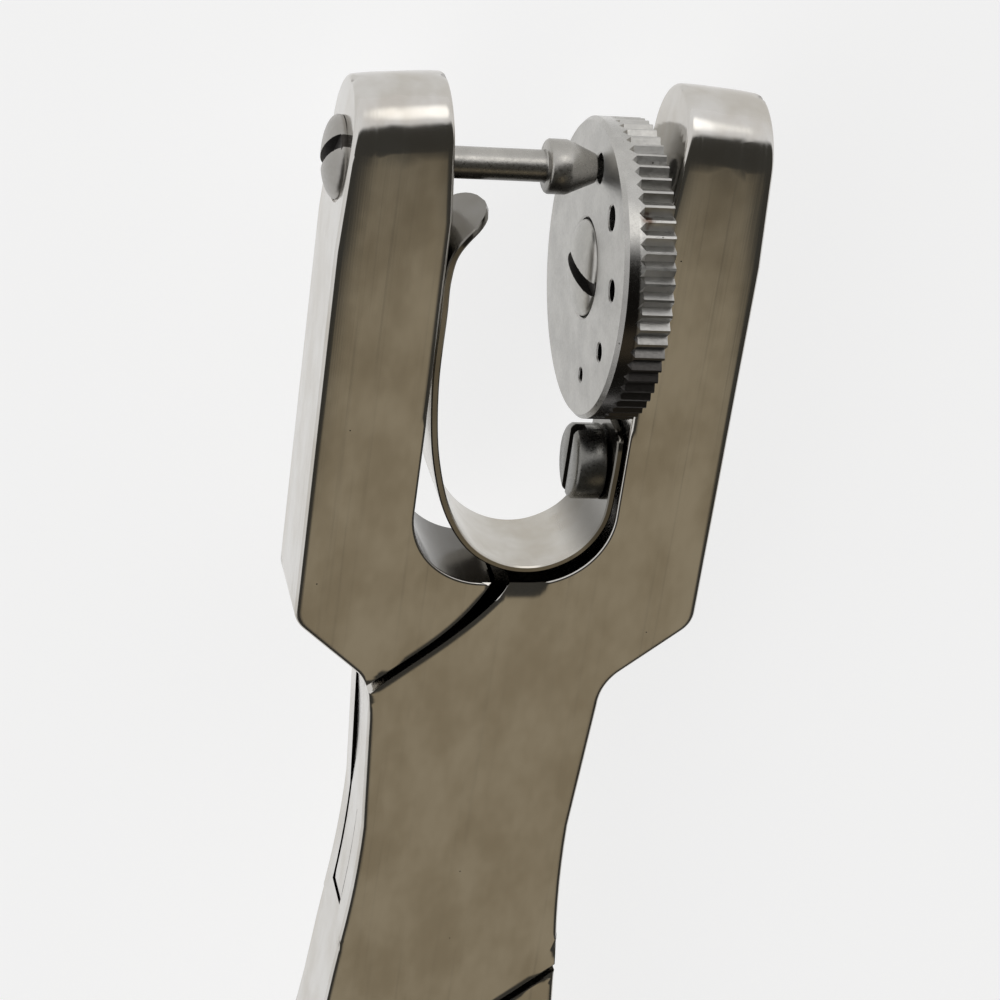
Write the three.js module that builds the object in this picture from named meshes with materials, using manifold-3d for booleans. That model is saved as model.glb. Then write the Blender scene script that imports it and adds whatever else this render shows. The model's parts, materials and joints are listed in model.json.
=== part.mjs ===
// Hand punch pliers with a rotary anvil: two levers crossed in a box joint, a knurled anvil wheel
// with graduated holes on one jaw, a punch stylus on the other, and a leaf spring between the jaws.
// Millimetres. The tool lies on its back face: +Y from the pivot to the jaw tips, +X from the punch
// jaw to the wheel jaw, +Z out of the front face. Solids are built about the pivot axis and moved at
// the end, so that the origin is the bottom centre of the whole tool's box.

import * as THREE from 'three';
import { mergeVertices } from 'three/addons/utils/BufferGeometryUtils.js';
import Module from 'manifold-3d';

const wasm = await Module();
wasm.setup();

// Overall
const DEPTH = 7.8; // front face to back face of the levers
const TIP_Y = 57.3; // pivot to jaw tips
const HANDLE_Y = -112.7; // pivot to handle ends
const GAP = 0.3; // space between faces that meet
const BORE_GAP = 0.12; // radial space of a screw or pin in its bore
const SEAT_GAP = 0.15; // space under a screw's head and behind the leaf spring

// Jaws
const JAW_OUTER_X = 14.6;
const JAW_TIP_OUTER_X = 14.0; // the outer faces draw in a little towards the tips
const JAW_TAPER_Y = 46;
const PUNCH_JAW_INNER_X = -7.0;
const PUNCH_TIP_INNER_X = -7.9;
const WHEEL_JAW_INNER_X = 7.45;
const WHEEL_TIP_INNER_X = 8.3;
const INNER_RELIEF_Y = 48.5; // the inner faces open out from here to the tips
const TIP_SLOPE = THREE.MathUtils.degToRad(5); // the rounded ends fall away outwards
const SHOULDER_Y = 17.7; // where the jaw's outer face would meet the shoulder's slope
const SHOULDER_ROUND = 1.0;

// Throat between the jaws
const THROAT_Y = 21.0;
const THROAT_RADIUS = 5.5;

// Box joint
const WAIST_X = 8.5; // half width at both ends of the box
const WAIST_Y = 12.3;
const WAIST_ROUND = 1.6;
const BOX_MIDDLE_X = 7.85; // half width at the pivot
const LAP_ANGLE = THREE.MathUtils.degToRad(40.5); // slope of both lap lines
const LAP_JAW_DISTANCE = 14.55; // pivot to the upper lap line
const LAP_HANDLE_DISTANCE = 15.6; // pivot to the lower lap line
const LAP_GAP = 0.55;
const CROTCH_GAP = 1.4; // the upper lap line opens to this where it meets the throat
const LAP_BEND = 6.0; // along the upper lap line from the foot of its normal to where it curves
const LAP_CURVE = 5.0; // the curve's control point is about this far past the bend
const LOWER_CROTCH_Y = -17.5; // top of the notch between the handles
const LOWER_CROTCH_HALF = 1.2;
const TONGUE_THICKNESS = 2.8;
const HUB_RADIUS = 7.3;
const LOBE_RADIUS = 11.7; // the tongue's free corners turn inside the slot's round ends
const PIN_RADIUS = 3.0;
const PIN_FRONT_SKIN = 0.9; // metal left over the front end of the pivot pin

// Handles
const HANDLE_ROOT_HALF = 4.1; // half width where the handle leaves the box
const HANDLE_END_HALF = 3.3;
const HANDLE_END_DEPTH = 6.2;
const HANDLE_TAPER_Y = -24;
const GRIP_START = 0.36; // fraction of the handle's length where the serrations start
const GRIP_END = 0.9;
const GRIP_GROOVES = 20;
const GRIP_DEPTH = 0.45;

// Anvil wheel
const WHEEL_Y = 43.85;
const WHEEL_RADIUS = 10.3;
const WHEEL_FACE_X = 3.4;
const WHEEL_BACK_X = 6.85;
const RIM_BAND = 1.05; // plain band between the face and the knurl
const FACE_CHAMFER = 0.35;
const KNURL_GROOVES = 62;
const KNURL_PHASE = 0.72; // pitches from the top of the wheel to the first groove
const KNURL_DEPTH = 0.4;
const HOLE_CIRCLE = 7.3;
const HOLE_STEP = THREE.MathUtils.degToRad(38.5);
const HOLE_DIAMETERS = [2.1, 1.7, 1.45, 1.25, 0.95];
const WHEEL_BORE_RADIUS = 2.15;
const HEAD_RECESS_RADIUS = 3.55;
const HEAD_RECESS_DEPTH = 0.6;
const DETENT_CIRCLE = 4.75;
const TRACK_DEPTH = 0.45;
const TRACK_HALF_WIDTH = 1.1;
const DIMPLE_DEPTH = 0.3;

// Wheel screw and washer
const WHEEL_SCREW_HEAD_RADIUS = 3.3;
const WHEEL_SCREW_DOME = 0.8; // the dome stands this far out of the wheel's face
const WHEEL_SCREW_SHANK = 2.0;
const WHEEL_SCREW_THREAD = 1.5;
const WHEEL_SCREW_END_X = 12.6;
const WHEEL_SLOT_ANGLE = THREE.MathUtils.degToRad(3);
const WASHER_THICKNESS = 0.3;
const WASHER_RADIUS = 3.3;

// Detent
const DETENT_BALL_RADIUS = 1.1;
const DETENT_BORE_RADIUS = 1.25;
const PLUG_RADIUS = 1.7;
const PLUG_LENGTH = 2.2;
const SPRING_WIRE_RADIUS = 0.16;
const SPRING_TURNS = 5;

// Punch stylus and its screw
const PUNCH_Y = WHEEL_Y + HOLE_CIRCLE;
const ROD_RADIUS = 1.08;
const COLLAR_RADIUS = 1.85;
const COLLAR_START_X = -0.35;
const COLLAR_END_X = 1.13;
const PUNCH_TIP_RADIUS = 1.0;
const PUNCH_TIP_X = WHEEL_FACE_X - GAP;
const STYLUS_ROOT_X = -10.6;
const PUNCH_SEAT_X = -14.1; // floor of the round seat of the screw's head
const PUNCH_SCREW_RADIUS = 2.8;
const PUNCH_SCREW_HEIGHT = 1.2;
const PUNCH_SCREW_THREAD = 1.6;
const PUNCH_SLOT_ANGLE = THREE.MathUtils.degToRad(-45);

// Leaf spring and its screw
const LEAF_THICKNESS = 0.5;
const LEAF_WIDTH = 6.8;
const LEAF_TIP_ROUND = 2.2; // length of the rounded end of the strip
const LEAF_SCREW_Y = 28.9;
const LEAF_SCREW_RADIUS = 2.7;
const LEAF_SCREW_HEIGHT = 2.2;
const LEAF_SCREW_THREAD = 1.4;
const LEAF_SCREW_END_X = 11.4;
const LEAF_SEAT_X = WHEEL_JAW_INNER_X - SEAT_GAP;

const SLOT_WIDTH = 0.8;
const SLOT_DEPTH = 0.55;
const FAR = 60; // reaches past the object, for cutters

const STEEL = { color: 0x8f8a82, roughness: 0.22, metalness: 1 };
const BRIGHT = { color: 0xb9b8b3, roughness: 0.3, metalness: 1 };
const SPRING_STEEL = { color: 0xa5a49e, roughness: 0.18, metalness: 1 };
const DARK_STEEL = { color: 0x4c4a46, roughness: 0.35, metalness: 1 };

const tool = new THREE.Group();
const placed = new THREE.Group();
tool.add(placed);

// Solids

function toSolid(geometry) {
  const bare = geometry.clone();
  bare.deleteAttribute('normal');
  bare.deleteAttribute('uv');
  const merged = mergeVertices(bare, 1e-5);
  const mesh = new wasm.Mesh({
    numProp: 3,
    vertProperties: new Float32Array(merged.attributes.position.array),
    triVerts: new Uint32Array(merged.index.array),
  });
  return new wasm.Manifold(mesh);
}

function toGeometry(solid) {
  const mesh = solid.getMesh();
  const geometry = new THREE.BufferGeometry();
  geometry.setAttribute('position', new THREE.BufferAttribute(mesh.vertProperties, 3));
  geometry.setIndex(new THREE.BufferAttribute(mesh.triVerts, 1));
  geometry.computeVertexNormals();
  return geometry;
}

function addNode(name, solid, finish) {
  const mesh = new THREE.Mesh(toGeometry(solid), new THREE.MeshStandardMaterial(finish));
  mesh.name = name;
  placed.add(mesh);
}

// An XY outline run along Z from one height to another.
function plate(shape, low, high, curveSegments = 12) {
  const depth = high - low;
  const geometry = new THREE.ExtrudeGeometry(shape, { depth, bevelEnabled: false, curveSegments });
  geometry.translate(0, 0, low);
  return toSolid(geometry);
}

// A YZ outline, given as [z, y], run along X.
function plateAlongX(shape, fromX, toX, curveSegments = 12) {
  const depth = toX - fromX;
  const geometry = new THREE.ExtrudeGeometry(shape, { depth, bevelEnabled: false, curveSegments });
  geometry.rotateY(Math.PI / 2);
  geometry.translate(fromX, 0, 0);
  return toSolid(geometry);
}

// A solid turned about the line along X through (y, 0), from [x, radius] pairs.
function turned(profile, y, segments = 48) {
  const points = profile.map(([x, radius]) => new THREE.Vector2(radius, x));
  const geometry = new THREE.LatheGeometry(points, segments);
  geometry.rotateZ(-Math.PI / 2);
  geometry.translate(0, y, 0);
  return toSolid(geometry);
}

function rodAlongX(radius, fromX, toX, y, z = 0, segments = 32) {
  const geometry = new THREE.CylinderGeometry(radius, radius, toX - fromX, segments);
  geometry.rotateZ(-Math.PI / 2);
  geometry.translate((fromX + toX) / 2, y, z);
  return toSolid(geometry);
}

function rodAlongZ(radius, low, high, segments = 48) {
  const geometry = new THREE.CylinderGeometry(radius, radius, high - low, segments);
  geometry.rotateX(Math.PI / 2);
  geometry.translate(0, 0, (low + high) / 2);
  return toSolid(geometry);
}

// A screwdriver slot across the axis (y, 0), cut from x inwards, turned by angle about that axis.
function screwSlot(x, depth, y, angle) {
  const geometry = new THREE.BoxGeometry(2 * depth, SLOT_WIDTH, FAR);
  geometry.rotateX(angle);
  geometry.translate(x, y, 0);
  return toSolid(geometry);
}

// Lever outlines

// The jaw on side s (-1 punch jaw, 1 wheel jaw), from the waist of the box up to the tip.
function jawShape(s, innerX, tipInnerX) {
  const foot = new THREE.Vector2(s * (WAIST_X + 1.1), WAIST_Y + 1.1);
  const corner = new THREE.Vector2(s * JAW_OUTER_X, SHOULDER_Y);
  const bend = corner.clone().lerp(foot, SHOULDER_ROUND / foot.distanceTo(corner));
  const shape = new THREE.Shape();
  shape.moveTo(0, 0);
  shape.lineTo(s * BOX_MIDDLE_X, 0);
  shape.lineTo(s * WAIST_X, WAIST_Y - WAIST_ROUND);
  shape.quadraticCurveTo(s * WAIST_X, WAIST_Y, foot.x, foot.y);
  shape.lineTo(bend.x, bend.y);
  shape.quadraticCurveTo(corner.x, corner.y, corner.x, corner.y + SHOULDER_ROUND);
  shape.lineTo(s * JAW_OUTER_X, JAW_TAPER_Y);
  shape.lineTo(s * JAW_TIP_OUTER_X, TIP_Y + 1);
  shape.lineTo(tipInnerX, TIP_Y + 1);
  shape.lineTo(innerX, INNER_RELIEF_Y);
  const centre = innerX - s * THROAT_RADIUS;
  const floor = THROAT_Y + THROAT_RADIUS;
  shape.lineTo(innerX, floor);
  shape.absarc(centre, floor, THROAT_RADIUS, s > 0 ? 0 : Math.PI, -Math.PI / 2, s > 0);
  shape.lineTo(0, THROAT_Y);
  return shape;
}

function boxShape() {
  const control = 2 * BOX_MIDDLE_X - WAIST_X;
  const shape = new THREE.Shape();
  const end = WAIST_Y - WAIST_ROUND;
  shape.moveTo(WAIST_X, end);
  shape.lineTo(0, THROAT_Y);
  shape.lineTo(-WAIST_X, end);
  shape.quadraticCurveTo(-control, 0, -WAIST_X, -end);
  shape.lineTo(-LOWER_CROTCH_HALF, LOWER_CROTCH_Y);
  shape.lineTo(LOWER_CROTCH_HALF, LOWER_CROTCH_Y);
  shape.lineTo(WAIST_X, -end);
  shape.quadraticCurveTo(control, 0, WAIST_X, end);
  return shape;
}

// Points down the middle of a handle: it leaves the box, bows out and closes in to its end.
function handleCurve(s) {
  const stations = [
    [4.35, -11],
    [6.2, -26],
    [13.2, -50],
    [19.6, -76],
    [20.2, -96],
    [17.4, HANDLE_Y + HANDLE_END_HALF],
  ];
  return new THREE.CatmullRomCurve3(stations.map(([x, y]) => new THREE.Vector3(s * x, y, 0)));
}

function handleShape(s) {
  const curve = handleCurve(s);
  const steps = 36;
  const left = [];
  const right = [];
  for (let i = 0; i <= steps; i += 1) {
    const t = i / steps;
    const point = curve.getPointAt(t);
    const along = curve.getTangentAt(t);
    const half = THREE.MathUtils.lerp(HANDLE_ROOT_HALF, HANDLE_END_HALF, t);
    left.push(new THREE.Vector2(point.x + along.y * half, point.y - along.x * half));
    right.push(new THREE.Vector2(point.x - along.y * half, point.y + along.x * half));
  }
  const tip = curve.getPointAt(1);
  const end = new THREE.Vector2(tip.x, tip.y);
  const spoke = left[steps].clone().sub(end);
  const cap = [];
  for (let i = 1; i < 12; i += 1) {
    cap.push(spoke.clone().rotateAround(new THREE.Vector2(), (i / 12) * Math.PI).add(end));
  }
  return new THREE.Shape([...left, ...cap, ...right.reverse()]);
}

// The region past the upper lap line, on the punch jaw's side. clear moves the line off the box.
function jawLapShape(clear, crotchX) {
  const along = new THREE.Vector2(Math.cos(LAP_ANGLE), Math.sin(LAP_ANGLE));
  const foot = new THREE.Vector2(-along.y, along.x).multiplyScalar(LAP_JAW_DISTANCE + clear);
  const low = foot.clone().addScaledVector(along, -FAR / 2);
  const bend = foot.clone().addScaledVector(along, LAP_BEND);
  const control = bend.clone().addScaledVector(along, LAP_CURVE + crotchX);
  const shape = new THREE.Shape();
  shape.moveTo(low.x, low.y);
  shape.lineTo(bend.x, bend.y);
  shape.quadraticCurveTo(control.x, control.y, crotchX, THROAT_Y + GAP);
  shape.lineTo(crotchX, FAR);
  shape.lineTo(-FAR, FAR);
  shape.lineTo(-FAR, low.y);
  return shape;
}

// The region past the lower lap line, on the punch lever's handle side.
function handleLapShape(clear) {
  const along = new THREE.Vector2(Math.cos(LAP_ANGLE), Math.sin(LAP_ANGLE));
  const foot = new THREE.Vector2(along.y, -along.x).multiplyScalar(LAP_HANDLE_DISTANCE + clear);
  const high = foot.clone().addScaledVector(along, FAR / 2);
  const low = foot.clone().addScaledVector(along, -foot.x / along.x);
  const shape = new THREE.Shape();
  shape.moveTo(high.x, high.y);
  shape.lineTo(low.x, low.y);
  shape.lineTo(0, -FAR * 3);
  shape.lineTo(FAR, -FAR * 3);
  shape.lineTo(FAR, high.y);
  return shape;
}

// The edge of the tongue beside the slot's wall is tangent to the hub and runs to the crotch.
const CROTCH = new THREE.Vector2(-CROTCH_GAP / 2, THROAT_Y);
const EDGE_ANGLE = CROTCH.angle() - Math.acos(HUB_RADIUS / CROTCH.length());

function edgePoint(radius, y) {
  const start = new THREE.Vector2(Math.cos(EDGE_ANGLE), Math.sin(EDGE_ANGLE)).multiplyScalar(radius);
  const run = (y - start.y) / Math.cos(EDGE_ANGLE);
  return new THREE.Vector2(start.x - run * Math.sin(EDGE_ANGLE), y);
}

function halfTurn(points) {
  return points.map((point) => point.clone().negate());
}

// From beside the box round to the straight edge that is tangent to the hub.
function lobeArc(hubRadius, radius) {
  const end = EDGE_ANGLE + Math.acos(hubRadius / radius);
  const points = [];
  for (let i = 0; i <= 12; i += 1) {
    const angle = THREE.MathUtils.lerp(EDGE_ANGLE, end, i / 12);
    points.push(new THREE.Vector2(radius * Math.cos(angle), radius * Math.sin(angle)));
  }
  return points;
}

// The tongue at mid depth, still wider than the box. Its lower half is its upper half turned by
// 180 degrees about the pivot.
function tongueShape() {
  const half = [
    ...lobeArc(HUB_RADIUS, LOBE_RADIUS),
    edgePoint(HUB_RADIUS, THROAT_Y),
    new THREE.Vector2(-WAIST_X / 2, THROAT_Y),
    new THREE.Vector2(-WAIST_X - WAIST_ROUND, WAIST_Y + GAP),
  ];
  return new THREE.Shape([...half, ...halfTurn(half)]);
}

// The slot through the box. Its walls follow the tongue, GAP away from it.
function slotShape() {
  const top = edgePoint(HUB_RADIUS + GAP, THROAT_Y + 6);
  const half = [
    ...lobeArc(HUB_RADIUS + GAP, LOBE_RADIUS + GAP),
    top,
    new THREE.Vector2(-FAR, top.y),
  ];
  return new THREE.Shape([...half, ...halfTurn(half)]);
}

// Both levers thin out towards the handle ends, seen from the side.
function sideProfile() {
  const shape = new THREE.Shape();
  shape.moveTo(-DEPTH / 2, TIP_Y + 2);
  shape.lineTo(-DEPTH / 2, HANDLE_TAPER_Y);
  shape.lineTo(-HANDLE_END_DEPTH / 2, HANDLE_Y - 2);
  shape.lineTo(HANDLE_END_DEPTH / 2, HANDLE_Y - 2);
  shape.lineTo(DEPTH / 2, HANDLE_TAPER_Y);
  shape.lineTo(DEPTH / 2, TIP_Y + 2);
  return plateAlongX(shape, -FAR, FAR);
}

// What is taken off a jaw to leave a half round end, its axis along X and tipped by TIP_SLOPE.
function tipCutter(s) {
  const radius = DEPTH / 2;
  const centreY = TIP_Y - radius;
  const cap = new THREE.BoxGeometry(40, 20, 20);
  cap.translate(0, 10, 0);
  const round = new THREE.CylinderGeometry(radius, radius, 42, 64);
  round.rotateZ(Math.PI / 2);
  const cutter = toSolid(cap).subtract(toSolid(round));
  const innerX = s > 0 ? WHEEL_TIP_INNER_X : PUNCH_TIP_INNER_X;
  return cutter
    .rotate([0, 0, -s * THREE.MathUtils.radToDeg(TIP_SLOPE)])
    .translate([innerX, centreY, 0]);
}

// Serrations across the outer side of a handle.
function gripCutters(s) {
  const curve = handleCurve(s);
  const cutters = [];
  for (let i = 0; i < GRIP_GROOVES; i += 1) {
    const t = THREE.MathUtils.lerp(GRIP_START, GRIP_END, i / (GRIP_GROOVES - 1));
    const point = curve.getPointAt(t);
    const along = curve.getTangentAt(t);
    const half = THREE.MathUtils.lerp(HANDLE_ROOT_HALF, HANDLE_END_HALF, t);
    const groove = new THREE.BoxGeometry(0.9, 0.9, 2 * DEPTH);
    groove.rotateZ(Math.PI / 4 + Math.atan2(along.y, along.x));
    const reach = half - GRIP_DEPTH + 0.9 * Math.SQRT1_2;
    groove.translate(point.x - s * along.y * reach, point.y + s * along.x * reach, 0);
    cutters.push(toSolid(groove));
  }
  return cutters;
}

function cutAll(solid, cutters) {
  return cutters.reduce((left, cutter) => left.subtract(cutter), solid);
}

// The whole outline of the closed tool at full depth, before it is parted at the lap lines.
function headAndHandles() {
  const outlines = [
    jawShape(-1, PUNCH_JAW_INNER_X, PUNCH_TIP_INNER_X),
    jawShape(1, WHEEL_JAW_INNER_X, WHEEL_TIP_INNER_X),
    boxShape(),
    handleShape(-1),
    handleShape(1),
  ];
  return outlines
    .map((outline) => plate(outline, -DEPTH / 2, DEPTH / 2))
    .reduce((whole, piece) => whole.add(piece));
}

function punchLever() {
  const half = DEPTH / 2;
  const jaw = plate(jawShape(-1, PUNCH_JAW_INNER_X, PUNCH_TIP_INNER_X), -half, half)
    .intersect(plate(jawLapShape(LAP_GAP, -CROTCH_GAP / 2), -half, half));
  const handle = plate(handleShape(1), -half, half)
    .intersect(plate(handleLapShape(LAP_GAP), -half, half));
  const tongue = plate(tongueShape(), -TONGUE_THICKNESS / 2, TONGUE_THICKNESS / 2)
    .intersect(headAndHandles());
  const body = jaw.add(handle).add(tongue).intersect(sideProfile());
  const screwBore = rodAlongX(PUNCH_SCREW_THREAD + BORE_GAP, -FAR, STYLUS_ROOT_X - GAP, PUNCH_Y);
  const rodBore = rodAlongX(ROD_RADIUS + BORE_GAP, -FAR, 0, PUNCH_Y);
  const pinBore = rodAlongZ(PIN_RADIUS + BORE_GAP, -half - 1, half + 1);
  const seat = rodAlongX(PUNCH_SCREW_RADIUS + 0.25, -FAR, PUNCH_SEAT_X, PUNCH_Y);
  return cutAll(body, [tipCutter(-1), screwBore, rodBore, pinBore, seat, ...gripCutters(1)]);
}

function anvilLever() {
  const half = DEPTH / 2;
  const slotHalf = TONGUE_THICKNESS / 2 + GAP;
  const body = headAndHandles().intersect(sideProfile());
  const cutters = [
    plate(jawLapShape(0, CROTCH_GAP / 2), -FAR, FAR),
    plate(handleLapShape(0), -FAR, FAR),
    plate(slotShape(), -slotHalf, slotHalf),
    tipCutter(1),
    rodAlongZ(PIN_RADIUS + BORE_GAP, -half - 1, half - PIN_FRONT_SKIN),
    rodAlongX(WHEEL_SCREW_THREAD + BORE_GAP, 0, WHEEL_SCREW_END_X + GAP, WHEEL_Y),
    rodAlongX(LEAF_SCREW_THREAD + BORE_GAP, 0, LEAF_SCREW_END_X + GAP, LEAF_SCREW_Y),
    rodAlongX(DETENT_BORE_RADIUS, 0, FAR, detentY()),
    rodAlongX(PLUG_RADIUS + BORE_GAP, plugStartX() - 0.2, FAR, detentY()),
    ...gripCutters(-1),
  ];
  return cutAll(body, cutters);
}

function detentY() {
  return WHEEL_Y - DETENT_CIRCLE;
}

function plugStartX() {
  return JAW_OUTER_X - 0.25 - PLUG_LENGTH;
}

// The pin is driven in from the back and ground flush. It ends under a skin of the front plate.
function pivotPin() {
  return rodAlongZ(PIN_RADIUS, -DEPTH / 2, DEPTH / 2 - PIN_FRONT_SKIN - GAP);
}

function punchStylus() {
  const chamfer = 0.2;
  return turned([
    [STYLUS_ROOT_X, 0],
    [STYLUS_ROOT_X, ROD_RADIUS],
    [COLLAR_START_X, ROD_RADIUS],
    [COLLAR_START_X, COLLAR_RADIUS - chamfer],
    [COLLAR_START_X + chamfer, COLLAR_RADIUS],
    [COLLAR_END_X, COLLAR_RADIUS],
    [PUNCH_TIP_X, PUNCH_TIP_RADIUS],
    [PUNCH_TIP_X, 0],
  ], PUNCH_Y, 40);
}

// A slotted screw with a domed head. The head's flat underside is at x, and the thread runs from
// there towards x + reach. The dome's height and reach have opposite signs.
function domedScrew({ x, headRadius, height, threadRadius, reach, y, slotAngle }) {
  const dome = [];
  const steps = 5;
  for (let i = 0; i <= steps; i += 1) {
    const angle = (i / steps) * (Math.PI / 2);
    dome.push([x + height * (0.35 + 0.65 * Math.cos(angle)), headRadius * Math.sin(angle)]);
  }
  const profile = [
    ...dome,
    [x, headRadius],
    [x, threadRadius],
    [x + reach, threadRadius],
    [x + reach, 0],
  ];
  const solid = turned(reach > 0 ? profile : profile.reverse(), y, 40);
  return solid.subtract(screwSlot(x + height, SLOT_DEPTH, y, slotAngle));
}

function punchScrew() {
  const underside = PUNCH_SEAT_X - SEAT_GAP;
  return domedScrew({
    x: underside,
    headRadius: PUNCH_SCREW_RADIUS,
    height: -PUNCH_SCREW_HEIGHT,
    threadRadius: PUNCH_SCREW_THREAD,
    reach: STYLUS_ROOT_X - GAP - underside,
    y: PUNCH_Y,
    slotAngle: PUNCH_SLOT_ANGLE,
  });
}

function wheelScrew() {
  const underside = WHEEL_FACE_X + HEAD_RECESS_DEPTH - SEAT_GAP;
  const head = domedScrew({
    x: underside,
    headRadius: WHEEL_SCREW_HEAD_RADIUS,
    height: WHEEL_FACE_X - WHEEL_SCREW_DOME - underside,
    threadRadius: WHEEL_SCREW_SHANK,
    reach: LEAF_SEAT_X - underside,
    y: WHEEL_Y,
    slotAngle: WHEEL_SLOT_ANGLE,
  });
  return head.add(rodAlongX(WHEEL_SCREW_THREAD, underside, WHEEL_SCREW_END_X, WHEEL_Y));
}

function leafScrew() {
  const chamfer = 0.3;
  const underside = LEAF_SEAT_X - LEAF_THICKNESS - SEAT_GAP;
  const top = underside - LEAF_SCREW_HEIGHT;
  const solid = turned([
    [top, 0],
    [top, LEAF_SCREW_RADIUS - chamfer],
    [top + chamfer, LEAF_SCREW_RADIUS],
    [underside, LEAF_SCREW_RADIUS],
    [underside, LEAF_SCREW_THREAD],
    [LEAF_SCREW_END_X, LEAF_SCREW_THREAD],
    [LEAF_SCREW_END_X, 0],
  ], LEAF_SCREW_Y, 36);
  return solid.subtract(screwSlot(top, 0.9, LEAF_SCREW_Y, Math.PI / 2));
}

// The wheel's rim with V grooves, seen along the wheel's axis.
function knurlShape() {
  const groove = [[-0.36, WHEEL_RADIUS], [0, WHEEL_RADIUS - KNURL_DEPTH], [0.36, WHEEL_RADIUS]];
  const points = [];
  for (let i = 0; i < KNURL_GROOVES; i += 1) {
    for (const [offset, radius] of groove) {
      const angle = (2 * Math.PI * (i + KNURL_PHASE + offset)) / KNURL_GROOVES;
      points.push(new THREE.Vector2(-radius * Math.sin(angle), radius * Math.cos(angle)));
    }
  }
  return new THREE.Shape(points);
}

function anvilWheel() {
  const bandX = WHEEL_FACE_X + RIM_BAND;
  const knurl = plateAlongX(knurlShape(), bandX - 0.2, WHEEL_BACK_X).translate([0, WHEEL_Y, 0]);
  const plain = turned([
    [WHEEL_FACE_X, 0],
    [WHEEL_FACE_X, WHEEL_RADIUS - FACE_CHAMFER],
    [WHEEL_FACE_X + FACE_CHAMFER, WHEEL_RADIUS],
    [bandX, WHEEL_RADIUS],
    [bandX, 0],
  ], WHEEL_Y, 120);
  const recess = rodAlongX(HEAD_RECESS_RADIUS, 0, WHEEL_FACE_X + HEAD_RECESS_DEPTH, WHEEL_Y);
  const bore = rodAlongX(WHEEL_BORE_RADIUS, 0, WHEEL_BACK_X + 1, WHEEL_Y);
  const track = turned([
    [WHEEL_BACK_X + 1, DETENT_CIRCLE - TRACK_HALF_WIDTH],
    [WHEEL_BACK_X + 1, DETENT_CIRCLE + TRACK_HALF_WIDTH],
    [WHEEL_BACK_X - TRACK_DEPTH, DETENT_CIRCLE + TRACK_HALF_WIDTH],
    [WHEEL_BACK_X - TRACK_DEPTH, DETENT_CIRCLE - TRACK_HALF_WIDTH],
    [WHEEL_BACK_X + 1, DETENT_CIRCLE - TRACK_HALF_WIDTH],
  ].reverse(), WHEEL_Y, 48);
  const cutters = [recess, bore, track];
  HOLE_DIAMETERS.forEach((diameter, i) => {
    const angle = i * HOLE_STEP;
    const y = WHEEL_Y + HOLE_CIRCLE * Math.cos(angle);
    const z = HOLE_CIRCLE * Math.sin(angle);
    cutters.push(rodAlongX(diameter / 2, 0, WHEEL_BACK_X + 1, y, z, 16));
    const dimpleY = WHEEL_Y - DETENT_CIRCLE * Math.cos(angle);
    const dimpleZ = -DETENT_CIRCLE * Math.sin(angle);
    const floorX = WHEEL_BACK_X - TRACK_DEPTH - DIMPLE_DEPTH;
    cutters.push(rodAlongX(0.7, floorX, WHEEL_BACK_X, dimpleY, dimpleZ, 12));
  });
  return cutAll(knurl.add(plain), cutters);
}

function wheelWasher() {
  const x = WHEEL_BACK_X + (WHEEL_JAW_INNER_X - WHEEL_BACK_X - WASHER_THICKNESS) / 2;
  return rodAlongX(WASHER_RADIUS, x, x + WASHER_THICKNESS, WHEEL_Y, 0, 40)
    .subtract(rodAlongX(WHEEL_BORE_RADIUS, 0, FAR, WHEEL_Y, 0, 40));
}

function ballCentreX() {
  return WHEEL_BACK_X - TRACK_DEPTH + 0.1 + DETENT_BALL_RADIUS;
}

function detentBall() {
  const geometry = new THREE.SphereGeometry(DETENT_BALL_RADIUS, 20, 12);
  geometry.translate(ballCentreX(), detentY(), 0);
  return toSolid(geometry);
}

function detentSpring() {
  const radius = DETENT_BORE_RADIUS - SPRING_WIRE_RADIUS - 0.15;
  const startX = ballCentreX() + DETENT_BALL_RADIUS + SPRING_WIRE_RADIUS + 0.05;
  const endX = plugStartX() - SPRING_WIRE_RADIUS - 0.1;
  class Coil extends THREE.Curve {
    getPoint(t) {
      const angle = 2 * Math.PI * SPRING_TURNS * t;
      const x = THREE.MathUtils.lerp(startX, endX, t);
      return new THREE.Vector3(x, detentY() + radius * Math.cos(angle), radius * Math.sin(angle));
    }
  }
  const section = new THREE.Shape();
  section.absarc(0, 0, SPRING_WIRE_RADIUS, 0, 2 * Math.PI, false);
  return toSolid(new THREE.ExtrudeGeometry(section, {
    steps: SPRING_TURNS * 12,
    extrudePath: new Coil(),
    bevelEnabled: false,
    curveSegments: 3,
  }));
}

function detentPlug() {
  const start = plugStartX();
  const end = start + PLUG_LENGTH;
  return rodAlongX(PLUG_RADIUS, start, end, detentY(), 0, 32)
    .subtract(screwSlot(end, 0.8, detentY(), Math.PI / 2));
}

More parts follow.
